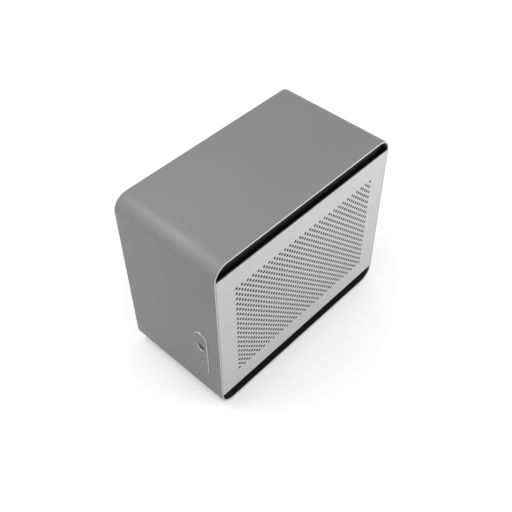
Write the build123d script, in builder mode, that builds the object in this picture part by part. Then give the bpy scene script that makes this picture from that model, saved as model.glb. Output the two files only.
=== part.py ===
"""Compact tower computer case: a bent aluminium shell with rounded corners round a black steel frame.

The origin is on the floor, under the middle of the shell. The front looks along -Y, +Z is up,
and the side panel at +X is the one beside the power button.
"""
from build123d import *
from math import cos, radians, sin
import os

# Overall sizes, in millimetres
case_width = 180
case_depth = 338
shell_height = 286
foot_height = 3
shell_wall = 2.5
corner_radius = 23
edge_break = 0.5

# Sheet and clearances
steel = 1.2
bend_gap = 0.15
slip_gap = 0.3
hole_gap = 0.1

# Side panels
panel_thickness = 2
panel_seam = 0.4
panel_top_gap = 23
panel_bottom_gap = 25.5
panel_edge_break = 0.4
perforation_depth = 266.2
perforation_height = 167.8
perforation_columns = 15
perforation_rows = 11
perforation_open_share = 0.187

# Frame hoops behind the panels
hoop_recess = 10
hoop_web = 44
hoop_rim_step = 1
hoop_opening_corner = 12
hoop_lip = 8

# Snap pins on the panels and their catches in the hoops
pin_inset_depth = 17
pin_inset_height = 15
pin_base_radius = 4.5
pin_base_height = 1.2
pin_neck_radius = 1.4
pin_head_radius = 2.3
catch_wall = 1.6
catch_flange = 1.2
catch_depth = 7

# Fasteners
screw_radius = 1.5
screw_head_radius = 3
screw_head_height = 1.8
screw_reach = 5
rear_screw_head_radius = 2.6
rear_screw_head_height = 0.6
rear_screw_tip = 1
fan_screw_head_radius = 4

# Floor of the case
floor_window_width = 120
floor_window_depth = 210
base_end_gap = 29
base_flange_height = 18
vent_length = 50
vent_width = 11
vent_pitch = 22
vent_count = 9
vent_gap = 8
filter_frame_thickness = 1.9
filter_mesh_thickness = 0.3
filter_rib = 2.4
filter_border = 6
filter_cells_across = 4
filter_cells_along = 7
foot_radius = 11
foot_sides = 28
foot_spread_x = 140
foot_spread_y = 256
foot_recess_radius = 4.5
foot_recess_height = 1.6
foot_nut_radius = 3.6
foot_nut_height = 2.4

# Back of the case
rear_border = 15
rear_window_rise = 31
rear_recess = 13
rear_lip = 2
rear_flange_rise = 7
rear_screw_spread = 55

# Mini-ITX board and its openings
tray_face = 60
standoff_height = 6.5
standoff_radius = 2.75
standoff_thread_radius = 1.4
standoff_thread_depth = 5.5
board_thickness = 1.57
board_hole_depth = 154.94
board_hole_height = 157.48
board_hole_from_back = 11.7
board_hole_from_floor = 82.85
io_opening_width = 44.45
io_opening_height = 158.75
io_below_board_face = 2.24
io_bottom = 94
tray_from_back = 204
tray_window = 92
tray_flange = 12
tray_back_flange_inset = 10
tray_back_screw_rises = (30, 130)
tray_foot_screw_reaches = (25, 135)
tray_notch_depth = 3.2
tray_notch_margin = 1
cable_slot_width = 12
cable_slot_height = 56
cable_slot_count = 3

# Expansion slots
slot_pitch = 20.32
slot_count = 2
slot_cover_width = 18.4
slot_cover_thickness = 0.8
slot_cover_tab = 11.4
slot_shelf_from_board = 106.7
slot_tongue_past_tray = 5
slot_tongue_length = 8
slot_tongue_width = 10
slot_window_height = 13
slot_window_width = 103
slot_gap_under_io = 1.8

# Rear fan
fan_size = 80
fan_depth = 25
fan_hole_spacing = 71.5
fan_hole_radius = 2.2
fan_bore_radius = 38.2
fan_flange = 4
fan_wall = 1.4
fan_x = -33
fan_z = 209
fan_hub_radius = 16.5
fan_hub_wall = 2
fan_hub_depth = 17
fan_hub_sides = 28
fan_stator_sides = 12
fan_carrier_radius = 17
fan_carrier_thickness = 3
fan_arm_width = 4
fan_arm_count = 4
fan_shaft_radius = 1.5
fan_running_gap = 0.05
fan_bearing_wall = 2
fan_tip_gap = 2
fan_rotor_inset = 2
fan_stator_gap = 2
fan_stator_air_gap = 1
fan_arm_turn = 20
fan_ring_sides = 36
blade_count = 7
blade_chord = 18
blade_thickness = 1.5
blade_angle = 34
grille_thickness = 1
grille_cell = 6.2
grille_web = 1.7
grille_radius = 36
grille_rows = 7

# Mains inlet
inlet_x = -33
inlet_z = 130
inlet_width = 27.4
inlet_height = 19.8
inlet_flange_width = 33
inlet_flange_height = 24
inlet_flange_thickness = 2.4
inlet_depth = 24
inlet_wall = 1.7
inlet_corner = 4.5
inlet_pin_width = 4
inlet_pin_thickness = 2
inlet_pin_length = 13
inlet_socket_depth = 15
inlet_pin_spacing = 14

# Cross pieces, supply bracket and drive bracket
rail_width = 20
rail_tab = 40
front_rail_tab = 24
top_rail_from_front = 49
top_rail_from_back = 69
front_rail_z = 168
supply_bracket_from_front = 108
supply_bracket_bottom = 205
supply_z = 246
supply_hole_width = 113
supply_hole_height = 51.5
supply_hole_radius = 1.9
supply_window_width = 100
supply_window_height = 58
supply_tab_depth = 22
supply_step = 2
drive_hole_width = 61.72
drive_hole_depth = 76.6
drive_hole_radius = 1.6
drive_x = -12
drive_from_front = 81
drive_bracket_width = 78
drive_bracket_depth = 92
drive_bracket_height = 13
drive_foot_width = 11

# Front control
bezel_x = 55.5
bezel_z = 100
bezel_width = 25
bezel_height = 89
bezel_proud = 1.5
bezel_flange = 2.5
bezel_flange_thickness = 1.5
bezel_edge_break = 0.6
button_z = 114.4
button_radius = 6.7
button_sides = 36
button_gap = 0.3
button_sunk = 0.8
button_collar = 1.5
button_collar_thickness = 1.2
button_collar_sides = 12
button_stem_radius = 2
button_travel = 1.2
led_z = 85.8
led_radius = 1.8
led_sides = 12
led_hole_gap = 0.2
led_sunk = 0.2
control_board_width = 16
control_board_height = 74
control_board_thickness = 1.6
control_post_height = 11
control_post_radius = 3
control_post_spread = 66
switch_size = 6
switch_height = 3.6
plunger_radius = 1.7
plunger_height = 4.2
plunger_lead = 1
led_collar = 1
led_body_radius = 1.5
led_body_height = 4

# Places worked out from the sizes above
rim_x = case_width / 2
back_y = case_depth / 2
shell_bottom = foot_height
shell_top = foot_height + shell_height
shell_middle = foot_height + shell_height / 2
inner_back = back_y - shell_wall
inner_floor = shell_bottom + shell_wall
inner_top = shell_top - shell_wall
panel_inner_x = rim_x - panel_thickness
panel_depth = case_depth - 2 * (shell_wall + panel_seam)
panel_bottom = shell_bottom + panel_bottom_gap
panel_top = shell_top - panel_top_gap
panel_height = panel_top - panel_bottom
panel_middle = (panel_top + panel_bottom) / 2
web_outer_x = rim_x - hoop_recess
web_inner_x = web_outer_x - steel
hoop_depth = case_depth - 2 * (shell_wall + bend_gap)
hoop_height = shell_height - 2 * (shell_wall + bend_gap)
hoop_radius = corner_radius - shell_wall - bend_gap
base_top = inner_floor + steel
base_half_depth = case_depth / 2 - base_end_gap
rear_window_width = case_width - 2 * rear_border
pan_width = rear_window_width - 2 * rear_lip
pan_bottom = shell_bottom + rear_window_rise + rear_lip
pan_top = shell_top - rear_window_rise - rear_lip
pan_height = pan_top - pan_bottom
pan_middle = (pan_top + pan_bottom) / 2
web_back_y = back_y - rear_recess
web_front_y = web_back_y - steel
tray_front = back_y - tray_from_back
board_face = tray_face - standoff_height - board_thickness
io_right = board_face + io_below_board_face
io_x = io_right - io_opening_width / 2
io_z = io_bottom + io_opening_height / 2
shelf_x = board_face - slot_shelf_from_board
slot_tip_x = tray_face + slot_tongue_past_tray
slot_centres = [
    io_bottom - slot_gap_under_io - slot_cover_width / 2 - n * slot_pitch for n in range(slot_count)
]
slot_top = slot_centres[0] + slot_cover_width / 2
slot_bottom = slot_centres[-1] - slot_cover_width / 2
board_hole_y = web_front_y - board_hole_from_back - board_hole_depth / 2
board_hole_z = board_hole_from_floor + board_hole_height / 2
bezel_face = -back_y - bezel_proud
bezel_inner = -inner_back + bezel_flange_thickness
control_board_y = bezel_inner + control_post_height
top_rail_front_y = -back_y + top_rail_from_front
top_rail_rear_y = back_y - top_rail_from_back
supply_bracket_y = -back_y + supply_bracket_from_front
drive_y = -back_y + drive_from_front
foot_x = foot_spread_x / 2
foot_y = foot_spread_y / 2
tray_screw_x = tray_face + steel + tray_flange / 2
tray_back_screw_z = [io_bottom + rise for rise in tray_back_screw_rises]
tray_foot_screw_y = [tray_front + reach for reach in tray_foot_screw_reaches]
drive_foot_x = drive_bracket_width / 2 + drive_foot_width / 2
drive_screw_places = [
    (drive_x + side * drive_foot_x, drive_y + end * drive_hole_depth / 2)
    for side in (-1, 1)
    for end in (-1, 1)
]


def facing_front(y):
    """A plane that looks forward, at depth y. Extruding it by a negative amount goes towards the back."""
    return Plane.XZ.offset(-y)


def facing_side(x):
    """A plane that looks along +X, at x."""
    return Plane.YZ.offset(x)


def level(z):
    """A plane that looks up, at height z."""
    return Plane.XY.offset(z)


def toward(x, y, z, direction):
    """A plane at a point, whose normal runs along the direction."""
    across = (0, 1, 0) if direction[0] else (1, 0, 0)
    return Plane(origin=(x, y, z), x_dir=across, z_dir=direction)


def punch(radius, mode=Mode.SUBTRACT):
    """The plain six-sided outline that stands for a small round hole."""
    RegularPolygon(radius + hole_gap, 6, mode=mode)


def fastener_group(seats, radius, reach, head_radius, head_height):
    """Screws whose heads sit on the seats, with their shanks along each seat's normal."""
    with BuildPart() as group:
        for seat in seats:
            with BuildSketch(seat):
                RegularPolygon(head_radius, 6)
            extrude(amount=-head_height)
            with BuildSketch(seat):
                RegularPolygon(radius, 6)
            extrude(amount=reach)
    return group


# Outer shell: one aluminium sheet bent into a ring, its ends welded and ground flush underneath
rear_screw_rise = pan_height / 2 + rear_lip + rear_flange_rise / 2
rear_screw_places = [
    (x, pan_middle + side * rear_screw_rise)
    for x in (-rear_screw_spread, 0, rear_screw_spread)
    for side in (-1, 1)
]
foot_places = GridLocations(foot_spread_x, foot_spread_y, 2, 2)

with BuildPart() as outer_shell:
    with BuildSketch(facing_side(-rim_x)):
        with Locations((0, shell_middle)):
            RectangleRounded(case_depth, shell_height, corner_radius)
            RectangleRounded(
                case_depth - 2 * shell_wall,
                shell_height - 2 * shell_wall,
                corner_radius - shell_wall,
                mode=Mode.SUBTRACT,
            )
    extrude(amount=case_width)
    for rim in (outer_shell.faces().sort_by(Axis.X)[0], outer_shell.faces().sort_by(Axis.X)[-1]):
        chamfer(rim.outer_wire().edges(), edge_break)
    with BuildSketch(facing_front(back_y)):
        with Locations((0, pan_middle)):
            Rectangle(rear_window_width, pan_height + 2 * rear_lip)
        with Locations(*rear_screw_places):
            punch(screw_radius, Mode.ADD)
    extrude(amount=2 * shell_wall, both=True, mode=Mode.SUBTRACT)
    with BuildSketch(level(shell_bottom)):
        Rectangle(floor_window_width, floor_window_depth)
        with foot_places:
            punch(screw_radius, Mode.ADD)
    extrude(amount=2 * shell_wall, both=True, mode=Mode.SUBTRACT)
    with BuildSketch(facing_front(-back_y)):
        with Locations((bezel_x, bezel_z)):
            SlotOverall(bezel_height + 2 * hole_gap, bezel_width + 2 * hole_gap, rotation=90)
    extrude(amount=2 * shell_wall, both=True, mode=Mode.SUBTRACT)

# Side hoops: pressed steel rings that line the rims, with base plate and rails spot-welded to them
pin_y = panel_depth / 2 - pin_inset_depth
pin_heights = (panel_bottom + pin_inset_height, panel_top - pin_inset_height)
pin_places = [(y, z) for y in (-pin_y, pin_y) for z in pin_heights]
catch_bore_radius = pin_head_radius + slip_gap
catch_radius = catch_bore_radius + catch_wall

with BuildPart() as side_hoop_right:
    with BuildSketch(facing_side(web_inner_x)):
        with Locations((0, shell_middle)):
            RectangleRounded(hoop_depth, hoop_height, hoop_radius)
    extrude(amount=hoop_recess + steel - hoop_rim_step)
    with BuildSketch(facing_side(web_outer_x)):
        with Locations((0, shell_middle)):
            RectangleRounded(hoop_depth - 2 * steel, hoop_height - 2 * steel, hoop_radius - steel)
    extrude(amount=hoop_recess, mode=Mode.SUBTRACT)
    with BuildSketch(facing_side(web_inner_x - hoop_lip)) as lip:
        with Locations((0, shell_middle)):
            Rectangle(hoop_depth - 2 * (hoop_web - steel), hoop_height - 2 * (hoop_web - steel))
        chamfer(lip.vertices(), hoop_opening_corner)
    extrude(amount=hoop_lip)
    with BuildSketch(facing_side(web_inner_x - hoop_lip)) as opening:
        with Locations((0, shell_middle)):
            Rectangle(hoop_depth - 2 * hoop_web, hoop_height - 2 * hoop_web)
        chamfer(opening.vertices(), hoop_opening_corner)
    extrude(amount=hoop_lip + hoop_recess, mode=Mode.SUBTRACT)
    with BuildSketch(facing_side(panel_inner_x - slip_gap)):
        with Locations((0, panel_middle)):
            Rectangle(case_depth, panel_height + 2 * slip_gap)
    extrude(amount=panel_thickness + slip_gap, mode=Mode.SUBTRACT)
    with BuildSketch(facing_side(web_inner_x)):
        with Locations(*pin_places):
            punch(catch_radius, Mode.ADD)
    extrude(amount=steel, mode=Mode.SUBTRACT)

with BuildPart() as side_hoop_left:
    mirror(side_hoop_right.part, about=Plane.YZ)

# Side panels: flat perforated aluminium, a staggered field of holes in a plain border
cell_depth = perforation_depth / (perforation_columns - 1)
cell_height = perforation_height / (perforation_rows - 1)
hole_side = (2 * cell_depth * cell_height * perforation_open_share) ** 0.5
long_rows = (perforation_rows + 1) // 2
long_columns = (perforation_columns + 1) // 2

with BuildPart() as side_panel_right:
    with BuildSketch(facing_side(panel_inner_x)):
        with Locations((0, panel_middle)):
            Rectangle(panel_depth, panel_height)
    extrude(amount=panel_thickness)
    chamfer(side_panel_right.faces().sort_by(Axis.X)[-1].outer_wire().edges(), panel_edge_break)
    with BuildSketch(facing_side(panel_inner_x)):
        with Locations((0, shell_middle)):
            with GridLocations(2 * cell_depth, 2 * cell_height, long_columns, long_rows):
                Rectangle(hole_side, hole_side, rotation=45)
            with GridLocations(2 * cell_depth, 2 * cell_height, long_columns - 1, long_rows - 1):
                Rectangle(hole_side, hole_side, rotation=45)
    extrude(amount=panel_thickness, mode=Mode.SUBTRACT)

with BuildPart() as side_panel_left:
    mirror(side_panel_right.part, about=Plane.YZ)

# Snap pins pressed into the panels, and the nylon catches that hold their heads
pin_seat_x = panel_inner_x - pin_base_height
pin_head_x = web_outer_x + catch_flange - 2 * pin_head_radius

with BuildPart() as right_snap_pins:
    for start_x, radius, length in (
        (pin_seat_x, pin_base_radius, pin_base_height),
        (pin_head_x, pin_head_radius, 2 * pin_head_radius),
        (pin_head_x, pin_neck_radius, pin_seat_x - pin_head_x),
    ):
        with BuildSketch(facing_side(start_x)):
            with Locations(*pin_places):
                RegularPolygon(radius, 6)
        extrude(amount=length)

with BuildPart() as left_snap_pins:
    mirror(right_snap_pins.part, about=Plane.YZ)

with BuildPart() as right_pin_catches:
    for start_x, radius, length, kind in (
        (web_outer_x, catch_radius + catch_wall, catch_flange, Mode.ADD),
        (web_outer_x, catch_radius, -catch_depth, Mode.ADD),
        (web_outer_x + catch_flange, catch_bore_radius, catch_wall - catch_flange - catch_depth, Mode.SUBTRACT),
    ):
        with BuildSketch(facing_side(start_x)):
            with Locations(*pin_places):
                RegularPolygon(radius, 6)
        extrude(amount=length, mode=kind)

with BuildPart() as left_pin_catches:
    mirror(right_pin_catches.part, about=Plane.YZ)

# Base plate: a steel tray across the floor, with vents over the shell's floor window
with BuildPart() as base_plate:
    with BuildSketch(facing_front(-base_half_depth)):
        with Locations((0, inner_floor + base_flange_height / 2)):
            Rectangle(2 * web_inner_x, base_flange_height)
        with Locations((0, base_top + base_flange_height / 2)):
            Rectangle(2 * (web_inner_x - steel), base_flange_height, mode=Mode.SUBTRACT)
    extrude(amount=-2 * base_half_depth)
    with BuildSketch(level(inner_floor)):
        with GridLocations(vent_length + vent_gap, vent_pitch, 2, vent_count):
            Rectangle(vent_length, vent_width)
        with foot_places:
            punch(screw_radius, Mode.ADD)
        with Locations(*drive_screw_places, *[(tray_screw_x, y) for y in tray_foot_screw_y]):
            punch(screw_radius, Mode.ADD)
    extrude(amount=steel, mode=Mode.SUBTRACT)

# Dust filter: a ribbed plastic frame in the floor window, with a fine mesh on top
filter_width = floor_window_width - 2 * slip_gap
filter_depth = floor_window_depth - 2 * slip_gap
filter_bottom = inner_floor - slip_gap - filter_mesh_thickness - filter_frame_thickness
filter_top = filter_bottom + filter_frame_thickness
cell_x = (filter_width - 2 * filter_border + filter_rib) / filter_cells_across
cell_y = (filter_depth - 2 * filter_border + filter_rib) / filter_cells_along

with BuildPart() as dust_filter:
    with BuildSketch(level(filter_bottom)):
        Rectangle(filter_width, filter_depth)
        with GridLocations(cell_x, cell_y, filter_cells_across, filter_cells_along):
            Rectangle(cell_x - filter_rib, cell_y - filter_rib, mode=Mode.SUBTRACT)
    extrude(amount=filter_frame_thickness)

with BuildPart() as filter_mesh:
    with BuildSketch(level(filter_top)):
        Rectangle(filter_width - filter_border, filter_depth - filter_border)
    extrude(amount=filter_mesh_thickness)


def rubber_foot(x, y):
    """A low round pad with a recess underneath for its screw."""
    with BuildPart() as foot:
        with BuildSketch(level(0)):
            with Locations((x, y)):
                RegularPolygon(foot_radius, foot_sides)
        extrude(amount=foot_height)
        for radius, depth in ((foot_recess_radius, foot_recess_height), (screw_radius + hole_gap, foot_height)):
            with BuildSketch(level(0)):
                with Locations((x, y)):
                    RegularPolygon(radius, 6)
            extrude(amount=depth, mode=Mode.SUBTRACT)
    return foot


foot_front_left = rubber_foot(-foot_x, -foot_y)
foot_front_right = rubber_foot(foot_x, -foot_y)
foot_rear_left = rubber_foot(-foot_x, foot_y)
foot_rear_right = rubber_foot(foot_x, foot_y)

# Foot screws come up through foot, shell and base plate into nuts pressed on the base plate
foot_corners = [(x, y) for x in (-foot_x, foot_x) for y in (-foot_y, foot_y)]
foot_screws = fastener_group(
    [toward(x, y, foot_recess_height, (0, 0, 1)) for x, y in foot_corners],
    screw_radius,
    base_top + foot_nut_height - foot_recess_height,
    screw_head_radius,
    foot_recess_height - 2 * slip_gap,
)

with BuildPart() as foot_nuts:
    with BuildSketch(level(base_top)):
        with foot_places:
            RegularPolygon(foot_nut_radius, 6)
            punch(screw_radius)
    extrude(amount=foot_nut_height)

# Rear panel: a shallow steel pan behind the shell's rear window
with BuildPart() as rear_panel:
    with BuildSketch(facing_front(inner_back)):
        with Locations((0, pan_middle)):
            Rectangle(2 * (web_inner_x - slip_gap), pan_height + 2 * (rear_lip + rear_flange_rise))
            Rectangle(pan_width, pan_height, mode=Mode.SUBTRACT)
        with Locations(*rear_screw_places):
            punch(screw_radius)
    extrude(amount=steel)
    with BuildSketch(facing_front(inner_back - steel)):
        with Locations((0, pan_middle)):
            Rectangle(pan_width + 2 * steel, pan_height + 2 * steel)
            Rectangle(pan_width, pan_height, mode=Mode.SUBTRACT)
    extrude(amount=inner_back - web_back_y - steel)
    with BuildSketch(facing_front(web_back_y)):
        with Locations((0, pan_middle)):
            Rectangle(pan_width + 2 * steel, pan_height + 2 * steel)
        with Locations((io_x, io_z)):
            Rectangle(io_opening_width, io_opening_height, mode=Mode.SUBTRACT)
        with Locations((fan_x, fan_z)):
            Circle(fan_bore_radius, mode=Mode.SUBTRACT)
            with GridLocations(fan_hole_spacing, fan_hole_spacing, 2, 2):
                punch(fan_hole_radius)
        with Locations((inlet_x, inlet_z)):
            Rectangle(inlet_width + 2 * hole_gap, inlet_height + 2 * hole_gap, mode=Mode.SUBTRACT)
        with Locations(*[(tray_screw_x, z) for z in tray_back_screw_z]):
            punch(screw_radius)
        for slot_z in slot_centres:
            with Locations((shelf_x + steel, slot_z)):
                Rectangle(
                    slot_window_width,
                    slot_window_height,
                    align=(Align.MIN, Align.CENTER),
                    mode=Mode.SUBTRACT,
                )
        with Locations((-pan_width / 2, (slot_top + slot_bottom) / 2)):
            Rectangle(
                shelf_x + pan_width / 2,
                slot_top - slot_bottom,
                align=(Align.MIN, Align.CENTER),
                mode=Mode.SUBTRACT,
            )
    extrude(amount=steel)
    # The shelf that the slot covers are screwed to is bent out of the web
    with BuildSketch(facing_side(shelf_x)):
        with Locations((web_front_y, (slot_top + slot_bottom) / 2)):
            Rectangle(
                steel + slot_cover_tab, slot_top - slot_bottom, align=(Align.MIN, Align.CENTER)
            )
        with Locations(*[(web_back_y + slot_cover_tab / 2, slot_z) for slot_z in slot_centres]):
            punch(screw_radius)
    extrude(amount=steel)

# Rear screws: flat heads on the shell's back, through the pan's flange
rear_screws = fastener_group(
    [toward(x, back_y, z, (0, -1, 0)) for x, z in rear_screw_places],
    screw_radius,
    shell_wall + steel + rear_screw_tip,
    rear_screw_head_radius,
    rear_screw_head_height,
)


def slot_cover(slot_z):
    """A thin blank behind one slot window: a narrow tongue, a flat plate and a bent tab with a notch."""
    with BuildPart() as cover:
        with BuildSketch(facing_front(web_front_y)):
            with Locations((shelf_x - slot_cover_thickness, slot_z)):
                Rectangle(
                    slot_tip_x - slot_tongue_length - shelf_x + slot_cover_thickness,
                    slot_cover_width,
                    align=(Align.MIN, Align.CENTER),
                )
            with Locations((slot_tip_x, slot_z)):
                Rectangle(slot_tongue_length, slot_tongue_width, align=(Align.MAX, Align.CENTER))
        extrude(amount=slot_cover_thickness)
        with BuildSketch(facing_side(shelf_x - slot_cover_thickness)):
            with Locations((web_front_y - slot_cover_thickness, slot_z)):
                Rectangle(
                    slot_cover_thickness + steel + slot_cover_tab,
                    slot_cover_width,
                    align=(Align.MIN, Align.CENTER),
                )
            with Locations((web_back_y + slot_cover_tab / 2, slot_z)):
                punch(screw_radius)
        extrude(amount=slot_cover_thickness)
    return cover


slot_cover_upper = slot_cover(slot_centres[0])
slot_cover_lower = slot_cover(slot_centres[1])
slot_screws = fastener_group(
    [
        toward(shelf_x - slot_cover_thickness, web_back_y + slot_cover_tab / 2, slot_z, (1, 0, 0))
        for slot_z in slot_centres
    ],
    screw_radius,
    screw_reach,
    screw_head_radius,
    screw_head_height,
)

# Mains inlet: a moulded socket that snaps into the rear panel, open to the back
with BuildPart() as power_inlet:
    with BuildSketch(facing_front(web_back_y + inlet_flange_thickness)):
        with Locations((inlet_x, inlet_z)):
            Rectangle(inlet_flange_width, inlet_flange_height)
    extrude(amount=inlet_flange_thickness)
    with BuildSketch(facing_front(web_back_y)) as inlet_body:
        with Locations((inlet_x, inlet_z)):
            Rectangle(inlet_width, inlet_height)
    extrude(amount=inlet_depth)
    with BuildSketch(facing_front(web_back_y + inlet_flange_thickness)) as inlet_socket:
        with Locations((inlet_x, inlet_z)):
            Rectangle(inlet_width - 2 * inlet_wall, inlet_height - 2 * inlet_wall)
        chamfer(inlet_socket.vertices().group_by(Axis.Z)[-1], inlet_corner)
    extrude(amount=inlet_socket_depth, mode=Mode.SUBTRACT)

with BuildPart() as inlet_pins:
    with BuildSketch(facing_front(web_back_y + inlet_flange_thickness - inlet_socket_depth)):
        with Locations((inlet_x, inlet_z)):
            with GridLocations(inlet_pin_spacing, 1, 2, 1):
                Rectangle(inlet_pin_thickness, inlet_pin_width)
            with Locations((0, inlet_pin_width)):
                Rectangle(inlet_pin_thickness, inlet_pin_width)
    extrude(amount=-inlet_pin_length)

# Rear fan: frame, bearing, stator and a seven-bladed rotor on its shaft
fan_back = web_front_y
fan_front = fan_back - fan_depth
carrier_front = fan_back - fan_carrier_thickness
rotor_front = fan_front + fan_rotor_inset
stator_front = rotor_front + fan_hub_wall + fan_stator_gap
bearing_radius = fan_shaft_radius + fan_running_gap + fan_bearing_wall

with BuildPart() as fan_frame:
    for flange_y in (fan_back, fan_front + fan_flange):
        with BuildSketch(facing_front(flange_y)):
            with Locations((fan_x, fan_z)):
                Rectangle(fan_size, fan_size)
                with GridLocations(fan_hole_spacing, fan_hole_spacing, 2, 2):
                    punch(fan_hole_radius)
        extrude(amount=fan_flange)
    with BuildSketch(facing_front(fan_back)):
        with Locations((fan_x, fan_z)):
            RegularPolygon(fan_bore_radius + fan_wall, fan_ring_sides, major_radius=False)
    extrude(amount=fan_depth)
    with BuildSketch(facing_front(fan_back)):
        with Locations((fan_x, fan_z)):
            Circle(fan_bore_radius)
    extrude(amount=fan_depth, mode=Mode.SUBTRACT)
    with BuildSketch(facing_front(fan_back)):
        with Locations((fan_x, fan_z)):
            RegularPolygon(fan_carrier_radius, fan_hub_sides)
            with PolarLocations((fan_bore_radius + fan_wall / 2) / 2, fan_arm_count, start_angle=fan_arm_turn):
                Rectangle(fan_bore_radius + fan_wall / 2, fan_arm_width)
    extrude(amount=fan_carrier_thickness)

with BuildPart() as fan_bearing:
    with BuildSketch(facing_front(carrier_front)):
        with Locations((fan_x, fan_z)):
            RegularPolygon(bearing_radius, fan_stator_sides)
            Circle(fan_shaft_radius + fan_running_gap, mode=Mode.SUBTRACT)
    extrude(amount=carrier_front - stator_front)

with BuildPart() as fan_stator:
    with BuildSketch(facing_front(carrier_front)):
        with Locations((fan_x, fan_z)):
            RegularPolygon(fan_hub_radius - fan_hub_wall - fan_stator_air_gap, fan_stator_sides)
            RegularPolygon(bearing_radius, fan_stator_sides, mode=Mode.SUBTRACT)
    extrude(amount=carrier_front - stator_front)

blade_root_radius = fan_hub_radius - fan_hub_wall + hole_gap
blade_tip_radius = fan_bore_radius - fan_tip_gap

with BuildPart() as fan_rotor:
    with BuildSketch(facing_front(rotor_front + fan_hub_depth)):
        with Locations((fan_x, fan_z)):
            RegularPolygon(fan_hub_radius, fan_hub_sides)
    extrude(amount=fan_hub_depth)
    with BuildSketch(facing_front(rotor_front + fan_hub_depth)):
        with Locations((fan_x, fan_z)):
            RegularPolygon(fan_hub_radius - fan_hub_wall, fan_hub_sides)
    extrude(amount=fan_hub_depth - fan_hub_wall, mode=Mode.SUBTRACT)
    with BuildSketch(facing_front(rotor_front + fan_hub_wall)):
        with Locations((fan_x, fan_z)):
            Circle(fan_shaft_radius)
    extrude(amount=-(carrier_front - rotor_front - fan_hub_wall - slip_gap))
    for blade in range(blade_count):
        turn = radians(360 * blade / blade_count)
        outward = Vector(cos(turn), 0, sin(turn))
        along = Vector(-sin(turn), 0, cos(turn))
        root = Vector(fan_x, rotor_front + fan_hub_depth / 2, fan_z) + outward * blade_root_radius
        with BuildSketch(Plane(origin=root, x_dir=along, z_dir=outward)):
            Rectangle(blade_chord, blade_thickness, rotation=blade_angle)
        extrude(amount=blade_tip_radius - blade_root_radius)

# Fan grille: a stamped steel guard outside the rear panel, held by the fan's screws
with BuildPart() as fan_grille:
    with BuildSketch(facing_front(web_back_y + grille_thickness)):
        with Locations((fan_x, fan_z)):
            Rectangle(fan_size, fan_size)
            with GridLocations(fan_hole_spacing, fan_hole_spacing, 2, 2):
                punch(fan_hole_radius)
        cells = HexLocations(grille_cell + grille_web / 2, grille_rows, grille_rows).local_locations
        inside = [cell.position for cell in cells if cell.position.length < grille_radius - grille_cell]
        with Locations(*[(fan_x + place.X, fan_z + place.Y) for place in inside]):
            RegularPolygon(grille_cell, 6, major_radius=False, mode=Mode.SUBTRACT)
    extrude(amount=grille_thickness)

fan_screws = fastener_group(
    [
        toward(fan_x + x, web_back_y + grille_thickness, fan_z + z, (0, -1, 0))
        for x in (-fan_hole_spacing / 2, fan_hole_spacing / 2)
        for z in (-fan_hole_spacing / 2, fan_hole_spacing / 2)
    ],
    fan_hole_radius - hole_gap,
    grille_thickness + steel + fan_flange,
    fan_screw_head_radius,
    screw_head_height,
)

# Motherboard tray: an upright steel plate from the base plate to the top rail
tray_top = inner_top - slip_gap - steel

with BuildPart() as motherboard_tray:
    with BuildSketch(facing_side(tray_face)):
        with Locations((tray_front, base_top)):
            Rectangle(web_front_y - tray_front, tray_top - base_top, align=(Align.MIN, Align.MIN))
        with Locations((board_hole_y, board_hole_z)):
            Rectangle(tray_window, tray_window, mode=Mode.SUBTRACT)
            with GridLocations(board_hole_depth, board_hole_height, 2, 2):
                punch(standoff_thread_radius)
        with Locations((tray_front + cable_slot_width, board_hole_z)):
            with GridLocations(1, cable_slot_height + cable_slot_width, 1, cable_slot_count):
                Rectangle(cable_slot_width, cable_slot_height, mode=Mode.SUBTRACT)
        for corner_z, side in ((base_top, Align.MIN), (tray_top, Align.MAX)):
            with Locations((web_front_y, corner_z)):
                Rectangle(corner_radius, corner_radius, align=(Align.MAX, side), mode=Mode.SUBTRACT)
        with Locations((web_front_y, (slot_top + slot_bottom) / 2)):
            Rectangle(
                tray_notch_depth,
                slot_top - slot_bottom + 2 * tray_notch_margin,
                align=(Align.MAX, Align.CENTER),
                mode=Mode.SUBTRACT,
            )
    extrude(amount=steel)
    with BuildSketch(level(base_top)):
        with Locations((tray_face, tray_front)):
            Rectangle(
                steel + tray_flange, foot_y - 2 * foot_nut_radius - tray_front, align=(Align.MIN, Align.MIN)
            )
        with Locations(*[(tray_screw_x, y) for y in tray_foot_screw_y]):
            punch(screw_radius)
    extrude(amount=steel)
    with BuildSketch(facing_front(web_front_y)):
        with Locations((tray_face, io_bottom + tray_back_flange_inset)):
            Rectangle(
                steel + tray_flange,
                io_opening_height - 2 * tray_back_flange_inset,
                align=(Align.MIN, Align.MIN),
            )
        with Locations(*[(tray_screw_x, z) for z in tray_back_screw_z]):
            punch(screw_radius)
    extrude(amount=steel)

with BuildPart() as board_standoffs:
    with BuildSketch(facing_side(tray_face)):
        with Locations((board_hole_y, board_hole_z)):
            with GridLocations(board_hole_depth, board_hole_height, 2, 2):
                RegularPolygon(standoff_radius, 6, major_radius=False)
    extrude(amount=-standoff_height)
    with BuildSketch(facing_side(tray_face)):
        with Locations((board_hole_y, board_hole_z)):
            with GridLocations(board_hole_depth, board_hole_height, 2, 2):
                RegularPolygon(standoff_thread_radius, 6)
    extrude(amount=steel)
    with BuildSketch(facing_side(tray_face - standoff_height)):
        with Locations((board_hole_y, board_hole_z)):
            with GridLocations(board_hole_depth, board_hole_height, 2, 2):
                Circle(standoff_thread_radius)
    extrude(amount=standoff_thread_depth, mode=Mode.SUBTRACT)

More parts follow.
